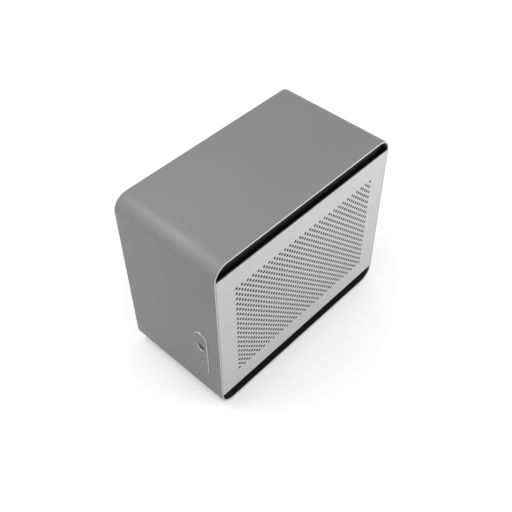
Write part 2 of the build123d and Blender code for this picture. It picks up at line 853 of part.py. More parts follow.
tray_screws = fastener_group(
    [
        *[
            toward(tray_screw_x, y, base_top + steel, (0, 0, -1))
            for y in tray_foot_screw_y
        ],
        *[
            toward(tray_screw_x, web_front_y - steel, z, (0, 1, 0))
            for z in tray_back_screw_z
        ],
    ],
    screw_radius,
    2 * steel - hole_gap,
    screw_head_radius,
    screw_head_height,
)


def top_rail(y):
    """A steel strip under the shell's top, its ends turned down against the hoops."""
    with BuildPart() as rail:
        with BuildSketch(facing_front(y - rail_width / 2)):
            with Locations((0, inner_top - slip_gap)):
                Rectangle(2 * web_inner_x, rail_tab, align=(Align.CENTER, Align.MAX))
            with Locations((0, inner_top - slip_gap - steel)):
                Rectangle(
                    2 * (web_inner_x - steel),
                    rail_tab,
                    align=(Align.CENTER, Align.MAX),
                    mode=Mode.SUBTRACT,
                )
        extrude(amount=-rail_width)
    return rail


top_rail_front = top_rail(top_rail_front_y)
top_rail_rear = top_rail(top_rail_rear_y)

# Front rail: a strip across the front wall, its ends turned back along the hoops
with BuildPart() as front_rail:
    with BuildSketch(level(front_rail_z - rail_width / 2)):
        with Locations((0, -inner_back + slip_gap)):
            Rectangle(2 * web_inner_x, front_rail_tab, align=(Align.CENTER, Align.MIN))
        with Locations((0, -inner_back + slip_gap + steel)):
            Rectangle(
                2 * (web_inner_x - steel),
                front_rail_tab,
                align=(Align.CENTER, Align.MIN),
                mode=Mode.SUBTRACT,
            )
    extrude(amount=rail_width)

# Supply bracket: an upright plate with the compact supply's hole pattern, tabs along the hoops
supply_top = inner_top - steel - 2 * slip_gap
supply_tab_bottom = inner_top - hoop_web + supply_step

with BuildPart() as supply_bracket:
    with BuildSketch(facing_front(supply_bracket_y)):
        with Locations((0, supply_bracket_bottom)):
            Rectangle(
                2 * web_inner_x,
                supply_top - supply_bracket_bottom,
                align=(Align.CENTER, Align.MIN),
            )
        # The plate steps in where it passes the hoops' inner lips
        with Locations(*[(side * web_inner_x, supply_bracket_bottom) for side in (-1, 1)]):
            Rectangle(
                2 * (hoop_lip + supply_step),
                supply_tab_bottom - supply_bracket_bottom,
                align=(Align.CENTER, Align.MIN),
                mode=Mode.SUBTRACT,
            )
        with Locations((0, supply_z)):
            Rectangle(supply_window_width, supply_window_height, mode=Mode.SUBTRACT)
            with GridLocations(supply_hole_width, supply_hole_height, 2, 2):
                Circle(supply_hole_radius, mode=Mode.SUBTRACT)
    extrude(amount=steel)
    for side in (-1, 1):
        with BuildSketch(level(supply_tab_bottom)):
            with Locations((side * (web_inner_x - steel / 2), supply_bracket_y)):
                Rectangle(steel, supply_tab_depth, align=(Align.CENTER, Align.MAX))
        extrude(amount=supply_top - supply_tab_bottom)

# Drive bracket: a raised steel shelf on the base plate for one small drive
with BuildPart() as drive_bracket:
    with BuildSketch(facing_front(drive_y - drive_bracket_depth / 2)):
        with Locations((drive_x, base_top)):
            Rectangle(drive_bracket_width, drive_bracket_height, align=(Align.CENTER, Align.MIN))
            Rectangle(
                drive_bracket_width - 2 * steel,
                drive_bracket_height - steel,
                align=(Align.CENTER, Align.MIN),
                mode=Mode.SUBTRACT,
            )
        with Locations(*[(drive_x + side * drive_foot_x, base_top) for side in (-1, 1)]):
            Rectangle(drive_foot_width, steel, align=(Align.CENTER, Align.MIN))
    extrude(amount=-drive_bracket_depth)
    with BuildSketch(level(base_top)):
        with Locations((drive_x, drive_y)):
            with GridLocations(drive_hole_width, drive_hole_depth, 2, 2):
                Circle(drive_hole_radius)
            with GridLocations(2 * drive_foot_x, drive_hole_depth, 2, 2):
                punch(screw_radius, Mode.ADD)
    extrude(amount=drive_bracket_height, mode=Mode.SUBTRACT)

drive_bracket_screws = fastener_group(
    [toward(x, y, base_top + steel, (0, 0, -1)) for x, y in drive_screw_places],
    screw_radius,
    2 * steel - hole_gap,
    screw_head_radius,
    screw_head_height,
)

# Control bezel: a pill-shaped block pushed through the front wall from inside, flange behind the wall
post_heights = [bezel_z + side * control_post_spread / 2 for side in (-1, 1)]

with BuildPart() as control_bezel:
    with BuildSketch(facing_front(bezel_inner)):
        with Locations((bezel_x, bezel_z)):
            SlotOverall(bezel_height, bezel_width, rotation=90)
    extrude(amount=bezel_inner - bezel_face)
    chamfer(control_bezel.faces().sort_by(Axis.Y)[0].edges(), bezel_edge_break)
    with BuildSketch(facing_front(bezel_inner)):
        with Locations((bezel_x, bezel_z)):
            Rectangle(bezel_width + 2 * bezel_flange, bezel_height + 2 * bezel_flange)
    extrude(amount=bezel_flange_thickness)
    with BuildSketch(facing_front(bezel_inner)):
        with Locations(*[(bezel_x, z) for z in post_heights]):
            RegularPolygon(control_post_radius, 6)
    extrude(amount=-control_post_height)
    with BuildSketch(facing_front(bezel_face)):
        with Locations((bezel_x, button_z)):
            Circle(button_radius + button_gap)
        with Locations((bezel_x, led_z)):
            RegularPolygon(led_radius + led_hole_gap, led_sides)
    extrude(amount=bezel_face - bezel_inner, mode=Mode.SUBTRACT)

# Power button: a round cap with a collar behind the bezel and a stem on the switch
collar_front = bezel_inner + slip_gap
collar_back = collar_front + button_collar_thickness
switch_front = control_board_y - switch_height
plunger_front = switch_front - button_travel - plunger_lead

with BuildPart() as power_button:
    with BuildSketch(facing_front(bezel_face + button_sunk)):
        with Locations((bezel_x, button_z)):
            RegularPolygon(button_radius, button_sides)
    extrude(amount=-(collar_back - bezel_face - button_sunk))
    chamfer(power_button.faces().sort_by(Axis.Y)[0].edges(), bezel_edge_break)
    with BuildSketch(facing_front(collar_front)):
        with Locations((bezel_x, button_z)):
            RegularPolygon(button_radius + button_gap + button_collar, button_collar_sides)
    extrude(amount=-button_collar_thickness)
    with BuildSketch(facing_front(collar_back)):
        with Locations((bezel_x, button_z)):
            RegularPolygon(button_stem_radius, 6)
    extrude(amount=-(plunger_front - collar_back))

with BuildPart() as switch_plunger:
    with BuildSketch(facing_front(plunger_front)):
        with Locations((bezel_x, button_z)):
            RegularPolygon(plunger_radius, 6)
    extrude(amount=-plunger_height)

with BuildPart() as power_switch:
    with BuildSketch(facing_front(switch_front)):
        with Locations((bezel_x, button_z)):
            Rectangle(switch_size, switch_size)
    extrude(amount=-switch_height)
    with BuildSketch(facing_front(switch_front)):
        with Locations((bezel_x, button_z)):
            punch(plunger_radius, Mode.ADD)
    extrude(amount=-(plunger_height - button_travel / 2), mode=Mode.SUBTRACT)

with BuildPart() as control_board:
    with BuildSketch(facing_front(control_board_y)):
        with Locations((bezel_x, bezel_z)):
            Rectangle(control_board_width, control_board_height)
        with Locations(*[(bezel_x, z) for z in post_heights]):
            punch(screw_radius)
    extrude(amount=-control_board_thickness)

control_board_screws = fastener_group(
    [toward(bezel_x, control_board_y + control_board_thickness, z, (0, -1, 0)) for z in post_heights],
    screw_radius,
    control_board_thickness,
    screw_head_radius,
    screw_head_height,
)

# Power light: a clear rod through the bezel, lit by a small lamp on the control board
led_front = control_board_y - led_body_height

with BuildPart() as light_rod:
    with BuildSketch(facing_front(bezel_face + led_sunk)):
        with Locations((bezel_x, led_z)):
            RegularPolygon(led_radius, led_sides)
    extrude(amount=-(led_front - slip_gap - bezel_face - led_sunk))
    with BuildSketch(facing_front(bezel_inner)):
        with Locations((bezel_x, led_z)):
            RegularPolygon(led_radius + led_collar, 6)
    extrude(amount=-button_collar_thickness)

with BuildPart() as power_lamp:
    with BuildSketch(facing_front(control_board_y)):
        with Locations((bezel_x, led_z)):
            RegularPolygon(led_body_radius, led_sides)
    extrude(amount=led_body_height)

pieces = {
    "outer_shell": outer_shell,
    "side_hoop_right": side_hoop_right,
    "side_hoop_left": side_hoop_left,
    "side_panel_right": side_panel_right,
    "side_panel_left": side_panel_left,
    "right_snap_pins": right_snap_pins,
    "left_snap_pins": left_snap_pins,
    "right_pin_catches": right_pin_catches,
    "left_pin_catches": left_pin_catches,
    "base_plate": base_plate,
    "dust_filter": dust_filter,
    "filter_mesh": filter_mesh,
    "foot_front_left": foot_front_left,
    "foot_front_right": foot_front_right,
    "foot_rear_left": foot_rear_left,
    "foot_rear_right": foot_rear_right,
    "foot_screws": foot_screws,
    "foot_nuts": foot_nuts,
    "rear_panel": rear_panel,
    "rear_screws": rear_screws,
    "slot_cover_upper": slot_cover_upper,
    "slot_cover_lower": slot_cover_lower,
    "slot_screws": slot_screws,
    "power_inlet": power_inlet,
    "inlet_pins": inlet_pins,
    "fan_frame": fan_frame,
    "fan_bearing": fan_bearing,
    "fan_stator": fan_stator,
    "fan_rotor": fan_rotor,
    "fan_grille": fan_grille,
    "fan_screws": fan_screws,
    "motherboard_tray": motherboard_tray,
    "board_standoffs": board_standoffs,
    "tray_screws": tray_screws,
    "top_rail_front": top_rail_front,
    "top_rail_rear": top_rail_rear,
    "front_rail": front_rail,
    "supply_bracket": supply_bracket,
    "drive_bracket": drive_bracket,
    "drive_bracket_screws": drive_bracket_screws,
    "control_bezel": control_bezel,
    "power_button": power_button,
    "switch_plunger": switch_plunger,
    "power_switch": power_switch,
    "control_board": control_board,
    "control_board_screws": control_board_screws,
    "light_rod": light_rod,
    "power_lamp": power_lamp,
}

os.makedirs("parts", exist_ok=True)
for name, piece in pieces.items():
    piece.part.label = name
    export_step(piece.part, f"parts/{name}.step")
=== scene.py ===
import math

import bmesh
import bpy
from mathutils import Matrix, Vector


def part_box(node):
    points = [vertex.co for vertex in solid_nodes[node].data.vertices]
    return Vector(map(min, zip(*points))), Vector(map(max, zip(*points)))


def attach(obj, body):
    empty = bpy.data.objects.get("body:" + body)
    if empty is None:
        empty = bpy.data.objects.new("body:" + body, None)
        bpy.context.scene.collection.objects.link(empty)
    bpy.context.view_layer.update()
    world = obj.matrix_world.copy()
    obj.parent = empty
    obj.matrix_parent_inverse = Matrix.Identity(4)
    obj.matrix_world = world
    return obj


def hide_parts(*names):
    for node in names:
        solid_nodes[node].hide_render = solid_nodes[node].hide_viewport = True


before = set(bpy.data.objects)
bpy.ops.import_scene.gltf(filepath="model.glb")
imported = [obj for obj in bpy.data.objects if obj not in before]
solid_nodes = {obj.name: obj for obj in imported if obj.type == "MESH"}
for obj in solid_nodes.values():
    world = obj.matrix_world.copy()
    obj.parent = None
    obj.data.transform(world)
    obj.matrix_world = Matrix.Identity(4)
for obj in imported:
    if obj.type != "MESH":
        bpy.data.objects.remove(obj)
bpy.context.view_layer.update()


# The studio floor: a wide sheet of white paper under the case. It only carries the soft shadow,
# and it isn't part of the object.
floor_half = 4.0
floor_sheet = bpy.data.meshes.new("studio_floor")
floor_sheet.from_pydata(
    [(x * floor_half, y * floor_half, 0) for x, y in ((-1, -1), (1, -1), (1, 1), (-1, 1))],
    [],
    [(0, 1, 2, 3)],
)
studio_floor = bpy.data.objects.new("studio_floor", floor_sheet)
bpy.context.collection.objects.link(studio_floor)


def math_node(tree, operation, *values):
    """A maths node with each input linked to a socket or set to a number."""
    node = tree.nodes.new("ShaderNodeMath")
    node.operation = operation
    for number, value in enumerate(values):
        if isinstance(value, bpy.types.NodeSocket):
            tree.links.new(value, node.inputs[number])
        else:
            node.inputs[number].default_value = value
    return node.outputs[0]


white_paper = bpy.data.materials.new("white_paper")
white_paper.use_nodes = True
paper_nodes = white_paper.node_tree
paper_face = paper_nodes.nodes["Principled BSDF"]
paper_face.inputs["Roughness"].default_value = 0.9
paper_face.inputs["Specular IOR Level"].default_value = 0.1
paper_fibre = paper_nodes.nodes.new("ShaderNodeTexNoise")
paper_fibre.inputs["Scale"].default_value = 35
paper_tone = paper_nodes.nodes.new("ShaderNodeValToRGB")
paper_tone.color_ramp.elements[0].color = (0.61, 0.61, 0.61, 1)
paper_tone.color_ramp.elements[1].color = (0.63, 0.63, 0.63, 1)
paper_place = paper_nodes.nodes.new("ShaderNodeTexCoord")
paper_nodes.links.new(paper_place.outputs["Object"], paper_fibre.inputs["Vector"])
paper_nodes.links.new(paper_fibre.outputs["Fac"], paper_tone.inputs["Fac"])
paper_nodes.links.new(paper_tone.outputs["Color"], paper_face.inputs["Base Color"])
paper_glow = 0.25  # the part of the paper's white that only camera, mirror and glass rays see
paper_ray = paper_nodes.nodes.new("ShaderNodeLightPath")
paper_seen = math_node(
    paper_nodes, "ADD", paper_ray.outputs["Is Camera Ray"], paper_ray.outputs["Is Glossy Ray"]
)
paper_seen = math_node(paper_nodes, "ADD", paper_seen, paper_ray.outputs["Is Transmission Ray"])
paper_lift = math_node(paper_nodes, "MULTIPLY", paper_seen, paper_glow)
paper_nodes.links.new(paper_lift, paper_face.inputs["Emission Strength"])
paper_face.inputs["Emission Color"].default_value = (1, 1, 1, 1)
floor_sheet.materials.append(white_paper)


# The lamps: an even pale room with five soft boxes. One hangs high on the left and lights the top, one
# stands in front for the bend, two stand beside the perforated panel, and a small one picks out the edges.
room = bpy.data.worlds.new("pale_room")
room.use_nodes = True
room_light = room.node_tree.nodes["Background"]
room_light.inputs["Color"].default_value = (1, 1, 1, 1)
room_light.inputs["Strength"].default_value = 1.0
bpy.context.scene.world = room


def soft_box(name, place, aim, width, height, strength):
    """An area lamp at a place, turned to the point it aims at. Its strength is its brightness."""
    lamp = bpy.data.lights.new(name, "AREA")
    lamp.shape = "RECTANGLE"
    lamp.size = width
    lamp.size_y = height
    lamp.energy = strength * width * height * math.pi
    stand = bpy.data.objects.new(name, lamp)
    stand.location = place
    stand.rotation_euler = (Vector(aim) - Vector(place)).to_track_quat("-Z", "Y").to_euler()
    stand.visible_camera = False
    bpy.context.collection.objects.link(stand)


soft_box("top_box", place=(-0.70, -0.46, 1.55), aim=(0, -0.15, 0.2), width=1.1, height=0.6, strength=4.8)
soft_box("bend_box", place=(-0.645, -1.33, 0.97), aim=(0, -0.15, 0.25), width=0.5, height=0.5, strength=2.0)
soft_box("side_box", place=(0.95, 0.35, 0.30), aim=(0, 0.05, 0.15), width=1.1, height=0.55, strength=4.1)
soft_box("rear_box", place=(1.3, 0.9, 1.1), aim=(0.05, 0.05, 0.15), width=0.9, height=0.9, strength=0.95)
soft_box("key_box", place=(1.05, -0.76, 0.50), aim=(0.05, -0.15, 0.13), width=0.2, height=0.7, strength=2.8)


# The camera: it stands where the photograph was taken from, above the front right corner. Its place,
# its turn and its lens were solved from the case's own straight edges.
camera_place = Vector((0.5116, -0.5397, 0.9213))
camera_right = Vector((0.7287, 0.6848, -0.0075))
camera_down = Vector((0.4992, -0.5386, -0.6787))
camera_ahead = Vector((-0.4688, 0.4909, -0.7344))
lens = bpy.data.cameras.new("photo_camera")
lens.sensor_width = 36
lens.lens = 52.34
photo_camera = bpy.data.objects.new("photo_camera", lens)
turn = Matrix((camera_right, -camera_down, -camera_ahead)).transposed()
photo_camera.matrix_world = Matrix.Translation(camera_place) @ turn.to_4x4()
bpy.context.collection.objects.link(photo_camera)
bpy.context.scene.camera = photo_camera
bpy.context.scene.view_settings.view_transform = "Standard"
bpy.context.scene.cycles.denoising_prefilter = "NONE"  # keeps the panels' small holes apart


# The outer shell: one sheet of 2.5 mm aluminium bent into a ring with four rounded corners, then
# bead-blasted and anodised silver. Its ends are welded underneath, and its windows are cut after bending.
wall = 0.0025
shell_corner = 0.023
shell_low, shell_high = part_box("outer_shell")


def rounded_loop(half_depth, low, high, corner, steps=20, settle=0.0006):
    """Points (y, z) round a rectangle with rounded corners, with one more point just outside each bend."""
    loop = []
    for turn_start, y_side, z_side in ((0, 1, 1), (90, -1, 1), (180, -1, -1), (270, 1, -1)):
        y_centre = y_side * (half_depth - corner)
        z_centre = high - corner if z_side > 0 else low + corner
        bend = [math.radians(turn_start + 90 * step / steps) for step in range(steps + 1)]
        arc = [(y_centre + corner * math.cos(angle), z_centre + corner * math.sin(angle)) for angle in bend]
        before = (arc[0][0] + settle * math.sin(bend[0]), arc[0][1] - settle * math.cos(bend[0]))
        after = (arc[-1][0] - settle * math.sin(bend[-1]), arc[-1][1] + settle * math.cos(bend[-1]))
        loop += [before, *arc, after]
    return loop


def piece_from(name, mesh, material, body, slot, *stands_for):
    """Links a finished mesh as a piece: its material, the body it moves with and the CAD nodes it shows."""
    mesh.materials.clear()
    mesh.materials.append(material)
    made = bpy.data.objects.new(name, mesh)
    bpy.context.collection.objects.link(made)
    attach(made, body)
    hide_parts(*stands_for)


def soft_shade(mesh, sharp_degrees=30):
    """Smooth shading that stays crisp at every edge sharper than the given angle."""
    for face in mesh.polygons:
        face.use_smooth = True
    mesh.set_sharp_from_angle(angle=math.radians(sharp_degrees))


def cut_away(mesh, cutters):
    """The mesh with each closed cutter mesh taken out of it."""
    body = bpy.data.objects.new("being_cut", mesh)
    bpy.context.collection.objects.link(body)
    tools = []
    for cutter in cutters:
        tool = bpy.data.objects.new("cutter", cutter)
        bpy.context.collection.objects.link(tool)
        tools.append(tool)
        step = body.modifiers.new("cut", "BOOLEAN")
        step.operation = "DIFFERENCE"
        step.solver = "EXACT"
        step.object = tool
    ready = body.evaluated_get(bpy.context.evaluated_depsgraph_get())
    result = bpy.data.meshes.new_from_object(ready)
    for used in (*tools, body):
        bpy.data.objects.remove(used)
    return result


def face_outward(mesh):
    """Turns all faces of a closed mesh to look outward."""
    turned = bmesh.new()
    turned.from_mesh(mesh)
    bmesh.ops.recalc_face_normals(turned, faces=turned.faces)
    turned.to_mesh(mesh)
    turned.free()


def prism(outline, start, along):
    """A closed mesh from an outline of 3-D points, placed at start, to the same outline moved along."""
    shape = bpy.data.meshes.new("prism")
    first = [Vector(point) + Vector(start) for point in outline]
    second = [point + Vector(along) for point in first]
    count = len(outline)
    ends = [tuple(reversed(range(count))), tuple(range(count, 2 * count))]
    sides = [(n, (n + 1) % count, count + (n + 1) % count, count + n) for n in range(count)]
    shape.from_pydata(first + second, [], ends + sides)
    face_outward(shape)
    return shape


shell_half = shell_high.x
outer_break, outer_middle, inner_break = 0.0005, 0.00015, 0.0003  # the rim's broken edges
shell_section = [
    (shell_half - outer_break, 0),
    (shell_half - outer_middle, outer_middle),
    (shell_half, outer_break),
    (shell_half, wall - inner_break),
    (shell_half - inner_break, wall),
]
shell_section += [(-x, inset) for x, inset in reversed(shell_section)]
shell_mesh = bpy.data.meshes.new("outer_shell_ring")
shell_points = []
for x, inset in shell_section:
    for y, z in rounded_loop(
        shell_high.y - inset, shell_low.z + inset, shell_high.z - inset, shell_corner - inset
    ):
        shell_points.append((x, y, z))
around = len(shell_points) // len(shell_section)
shell_faces = []
for row in range(len(shell_section)):
    for n in range(around):
        here, there = row * around, (row + 1) % len(shell_section) * around
        shell_faces.append((here + n, here + (n + 1) % around, there + (n + 1) % around, there + n))
shell_mesh.from_pydata(shell_points, [], shell_faces)
face_outward(shell_mesh)


def plain_box(low, high):
    """A closed box between two corners."""
    corners = [(low[0], low[1], 0), (high[0], low[1], 0), (high[0], high[1], 0), (low[0], high[1], 0)]
    return prism(corners, (0, 0, low[2]), (0, 0, high[2] - low[2]))


def rod_cutter(place, along, radius, points=20):
    """A round cutter from a place along a vector."""
    across = Vector(along).orthogonal().normalized() * radius
    lift = Vector(along).normalized().cross(across)
    angles = [2 * math.pi * n / points for n in range(points)]
    return prism([across * math.cos(a) + lift * math.sin(a) for a in angles], place, along)


pill_x, pill_z = 0.0555, 0.100
pill_width, pill_height = 0.0252, 0.0892
pill_rise = (pill_height - pill_width) / 2


def pill_outline(reach, y=0, steps=24):
    """An upright pill outline of a half width, at a place along the depth."""
    outline = []
    for centre, first in ((pill_rise, 0), (-pill_rise, 180)):
        for step in range(steps + 1):
            angle = math.radians(first + 180 * step / steps)
            outline.append((pill_x + reach * math.cos(angle), y, pill_z + centre + reach * math.sin(angle)))
    return outline


rear_window = (-0.075, 0.155, 0.034), (0.075, 0.175, 0.258)
floor_window = (-0.060, -0.105, -0.002), (0.060, 0.105, 0.008)
bolt_radius = 0.0016
rear_cut_from, rear_cut_length = 0.160, 0.015
floor_cut_from, floor_cut_length = -0.002, 0.010
front_cut_from, front_cut_length = -0.175, 0.012
rear_bolt_spots = [(x, z) for x in (-0.055, 0, 0.055) for z in (0.0305, 0.2615)]
foot_spots = [(x, y) for x in (-0.070, 0.070) for y in (-0.128, 0.128)]
shell_cutters = [
    plain_box(*rear_window),
    plain_box(*floor_window),
    prism(pill_outline(pill_width / 2), (0, front_cut_from, 0), (0, front_cut_length, 0)),
    *[rod_cutter((x, rear_cut_from, z), (0, rear_cut_length, 0), bolt_radius) for x, z in rear_bolt_spots],
    *[rod_cutter((x, y, floor_cut_from), (0, 0, floor_cut_length), bolt_radius) for x, y in foot_spots],
]
shell_mesh = cut_away(shell_mesh, shell_cutters)
soft_shade(shell_mesh)


def effect_group(name, numbers, outputs):
    """A shader group with number inputs and their starting values, and named value outputs."""
    group = bpy.data.node_groups.new(name, "ShaderNodeTree")
    for label, value in numbers.items():
        socket = group.interface.new_socket(name=label, in_out="INPUT", socket_type="NodeSocketFloat")
        socket.default_value = value
    for label in outputs:
        group.interface.new_socket(name=label, in_out="OUTPUT", socket_type="NodeSocketFloat")
    return group, group.nodes.new("NodeGroupInput"), group.nodes.new("NodeGroupOutput")


# Blasted grain: tiny even pits over the metal, and a very faint cloud in its tone
blasted_grain, grain_in, grain_out = effect_group(
    "blasted_grain", {"Pits Per Metre": 2600, "Clouds Per Metre": 14, "Cloud Share": 0.5}, ["Tone", "Height"]
)
grain_place = blasted_grain.nodes.new("ShaderNodeTexCoord")
pits = blasted_grain.nodes.new("ShaderNodeTexNoise")
pits.inputs["Detail"].default_value = 2
clouds = blasted_grain.nodes.new("ShaderNodeTexNoise")
clouds.inputs["Detail"].default_value = 3
for noise, label in ((pits, "Pits Per Metre"), (clouds, "Clouds Per Metre")):
    blasted_grain.links.new(grain_place.outputs["Object"], noise.inputs["Vector"])
    blasted_grain.links.new(grain_in.outputs[label], noise.inputs["Scale"])
cloud_part = math_node(blasted_grain, "MULTIPLY", clouds.outputs["Fac"], grain_in.outputs["Cloud Share"])
pit_share = math_node(blasted_grain, "SUBTRACT", 1.0, grain_in.outputs["Cloud Share"])
pit_part = math_node(blasted_grain, "MULTIPLY", pits.outputs["Fac"], pit_share)
blasted_grain.links.new(math_node(blasted_grain, "ADD", cloud_part, pit_part), grain_out.inputs["Tone"])
blasted_grain.links.new(pits.outputs["Fac"], grain_out.inputs["Height"])


def finish_material(name, effect, settings, dark, light, rough, bump, **shader_values):
    """A Principled material whose colour, roughness and relief follow an effect group's tone and height."""
    noise_low, noise_high = 0.3, 0.7  # nearly all of a noise texture lies between them
    material = bpy.data.materials.new(name)
    material.use_nodes = True
    tree = material.node_tree
    shader = tree.nodes["Principled BSDF"]
    for label, value in shader_values.items():
        shader.inputs[label.replace("_", " ")].default_value = value
    source = tree.nodes.new("ShaderNodeGroup")
    source.node_tree = effect
    for label, value in settings.items():
        source.inputs[label].default_value = value
    ramp = tree.nodes.new("ShaderNodeValToRGB")
    ramp.color_ramp.elements[0].position = noise_low
    ramp.color_ramp.elements[0].color = (*dark, 1)
    ramp.color_ramp.elements[1].position = noise_high
    ramp.color_ramp.elements[1].color = (*light, 1)
    spread = tree.nodes.new("ShaderNodeMapRange")
    spread.inputs["From Min"].default_value = noise_low
    spread.inputs["From Max"].default_value = noise_high
    spread.inputs["To Min"].default_value = rough[0]
    spread.inputs["To Max"].default_value = rough[1]
    relief = tree.nodes.new("ShaderNodeBump")
    relief.inputs["Strength"].default_value = 1.0
    relief.inputs["Distance"].default_value = bump
    tree.links.new(source.outputs["Tone"], ramp.inputs["Fac"])
    tree.links.new(source.outputs["Tone"], spread.inputs["Value"])
    tree.links.new(source.outputs["Height"], relief.inputs["Height"])
    tree.links.new(ramp.outputs["Color"], shader.inputs["Base Color"])
    tree.links.new(spread.outputs["Result"], shader.inputs["Roughness"])
    tree.links.new(relief.outputs["Normal"], shader.inputs["Normal"])
    return material


def other_where(material, effect, output, colour, roughness):
    """Gives a finish another colour and roughness where an effect group's output is 1."""
    tree = material.node_tree
    shader = tree.nodes["Principled BSDF"]
    mask = tree.nodes.new("ShaderNodeGroup")
    mask.node_tree = effect
    tone = tree.nodes.new("ShaderNodeMix")
    tone.data_type = "RGBA"
    tone.inputs["B"].default_value = (*colour, 1)
    smooth = tree.nodes.new("ShaderNodeMix")
    smooth.inputs["B"].default_value = roughness
    for mix, label, result in ((tone, "Base Color", "Result"), (smooth, "Roughness", "Result")):
        tree.links.new(mask.outputs[output], mix.inputs["Factor"])
        tree.links.new(shader.inputs[label].links[0].from_socket, mix.inputs["A"])
        tree.links.new(mix.outputs[result], shader.inputs[label])


silver_shell = finish_material(
    "silver_shell", blasted_grain, {"Pits Per Metre": 2600, "Clouds Per Metre": 9, "Cloud Share": 0.6},
    dark=(0.203, 0.203, 0.204), light=(0.215, 0.215, 0.216), rough=(0.56, 0.62),
    bump=0.00001, Metallic=0.6,
)

# Side faces: 1 on faces that look left or right, such as the shell's cut rim, and 0 elsewhere
side_faces, side_in, side_out = effect_group("side_faces", {"Least Turn": 0.6}, ["Side"])
side_turn = side_faces.nodes.new("ShaderNodeSeparateXYZ")
side_geometry = side_faces.nodes.new("ShaderNodeNewGeometry")
side_faces.links.new(side_geometry.outputs["True Normal"], side_turn.inputs[0])
side_share = math_node(side_faces, "ABSOLUTE", side_turn.outputs["X"])
side_found = math_node(side_faces, "GREATER_THAN", side_share, side_in.outputs["Least Turn"])
side_faces.links.new(side_found, side_out.inputs["Side"])
# painted light: the shell's faces that look left or right, its cut rim, get a lighter silver so that the rim
# reads bright where it lies in shade
other_where(silver_shell, side_faces, "Side", colour=(0.37, 0.37, 0.37), roughness=0.38)
piece_from("bent_shell", shell_mesh, silver_shell, "case", "shell_aluminium", "outer_shell")


# The side panels: flat 2 mm aluminium with a staggered field of 963 punched round holes inside a
# plain border, blasted and anodised like the shell, but painted a lighter silver as painted light for the
# brighter lit side. Each one sits flush and pulls straight off.
panel_low, panel_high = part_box("side_panel_right")
hole_radius = 0.00215
hole_points = 18
long_row_holes = 28
hole_rows = 35
field_depth, field_height, field_middle = 0.2662, 0.1678, 0.146
punched_edge = 0.0002
column_step = field_depth / (long_row_holes - 1)
row_step = field_height / (hole_rows - 1)
hole_angles = [math.tau * n / hole_points for n in range(hole_points)]
panel_thickness = panel_high.x - panel_low.x
panel_middle = (panel_low.x + panel_high.x) / 2

panel_curve = bpy.data.curves.new("panel_outline", "CURVE")
panel_curve.dimensions = "2D"
panel_curve.fill_mode = "BOTH"
panel_curve.extrude = panel_thickness / 2 - punched_edge
panel_curve.bevel_depth = punched_edge
panel_curve.bevel_resolution = 0
panel_curve.offset = -punched_edge


def closed_line(points):
    """Adds one closed straight-sided line to the panel's outline."""
    line = panel_curve.splines.new("POLY")
    line.points.add(len(points) - 1)
    for point, (across, up) in zip(line.points, points):
        point.co = (across, up, 0, 1)
    line.use_cyclic_u = True


closed_line([
    (panel_low.y, panel_low.z), (panel_high.y, panel_low.z),
    (panel_high.y, panel_high.z), (panel_low.y, panel_high.z),
])
for row in range(hole_rows):
    holes_here = long_row_holes - row % 2
    up = field_middle + (row - (hole_rows - 1) / 2) * row_step
    for hole in range(holes_here):
        across = (hole - (holes_here - 1) / 2) * column_step
        closed_line([
            (across + hole_radius * math.cos(angle), up + hole_radius * math.sin(angle))
            for angle in hole_angles
        ])
panel_shape = bpy.data.objects.new("panel_shape", panel_curve)
bpy.context.collection.objects.link(panel_shape)
ready_panel = panel_shape.evaluated_get(bpy.context.evaluated_depsgraph_get())
flat_panel = bpy.data.meshes.new_from_object(ready_panel)
bpy.data.objects.remove(panel_shape)

# painted light: the same blasted finish as the shell, in a lighter silver that stands in for the light on
# the side
silver_panel_painted_light = finish_material(
    "silver_panel_painted_light", blasted_grain, {"Pits Per Metre": 2900, "Clouds Per Metre": 7, "Cloud Share": 0.6},
    dark=(0.370, 0.370, 0.371), light=(0.386, 0.386, 0.387), rough=(0.44, 0.50),
    bump=0.00001, Metallic=0.6,
)
# Sheet edges: Wall is 1 on the walls of the holes, which get a near-black painted shade for the shade inside
# the holes, and Rim is 1 on the edges round the panel, which are a little darker than its faces
field_margin = 0.004
field_limits = {
    "Half Depth": field_depth / 2 + field_margin,
    "Half Height": field_height / 2 + field_margin,
    "Middle": field_middle,
}
sheet_edges, walls_in, walls_out = effect_group("sheet_edges", field_limits, ["Wall", "Rim"])
walls_face = sheet_edges.nodes.new("ShaderNodeNewGeometry")
walls_turn = sheet_edges.nodes.new("ShaderNodeSeparateXYZ")
walls_spot = sheet_edges.nodes.new("ShaderNodeSeparateXYZ")
sheet_edges.links.new(walls_face.outputs["True Normal"], walls_turn.inputs[0])
sheet_edges.links.new(walls_face.outputs["Position"], walls_spot.inputs[0])
across_sheet = math_node(
    sheet_edges, "LESS_THAN", math_node(sheet_edges, "ABSOLUTE", walls_turn.outputs["X"]), 0.5
)
in_depth = math_node(
    sheet_edges, "LESS_THAN", math_node(sheet_edges, "ABSOLUTE", walls_spot.outputs["Y"]),
    walls_in.outputs["Half Depth"],
)
from_middle = math_node(sheet_edges, "SUBTRACT", walls_spot.outputs["Z"], walls_in.outputs["Middle"])
in_height = math_node(
    sheet_edges, "LESS_THAN", math_node(sheet_edges, "ABSOLUTE", from_middle),
    walls_in.outputs["Half Height"],
)
in_field = math_node(sheet_edges, "MULTIPLY", in_depth, in_height)
painted_hole_shade = math_node(sheet_edges, "MULTIPLY", across_sheet, in_field)
sheet_edges.links.new(painted_hole_shade, walls_out.inputs["Wall"])
sheet_edges.links.new(math_node(sheet_edges, "SUBTRACT", across_sheet, painted_hole_shade), walls_out.inputs["Rim"])
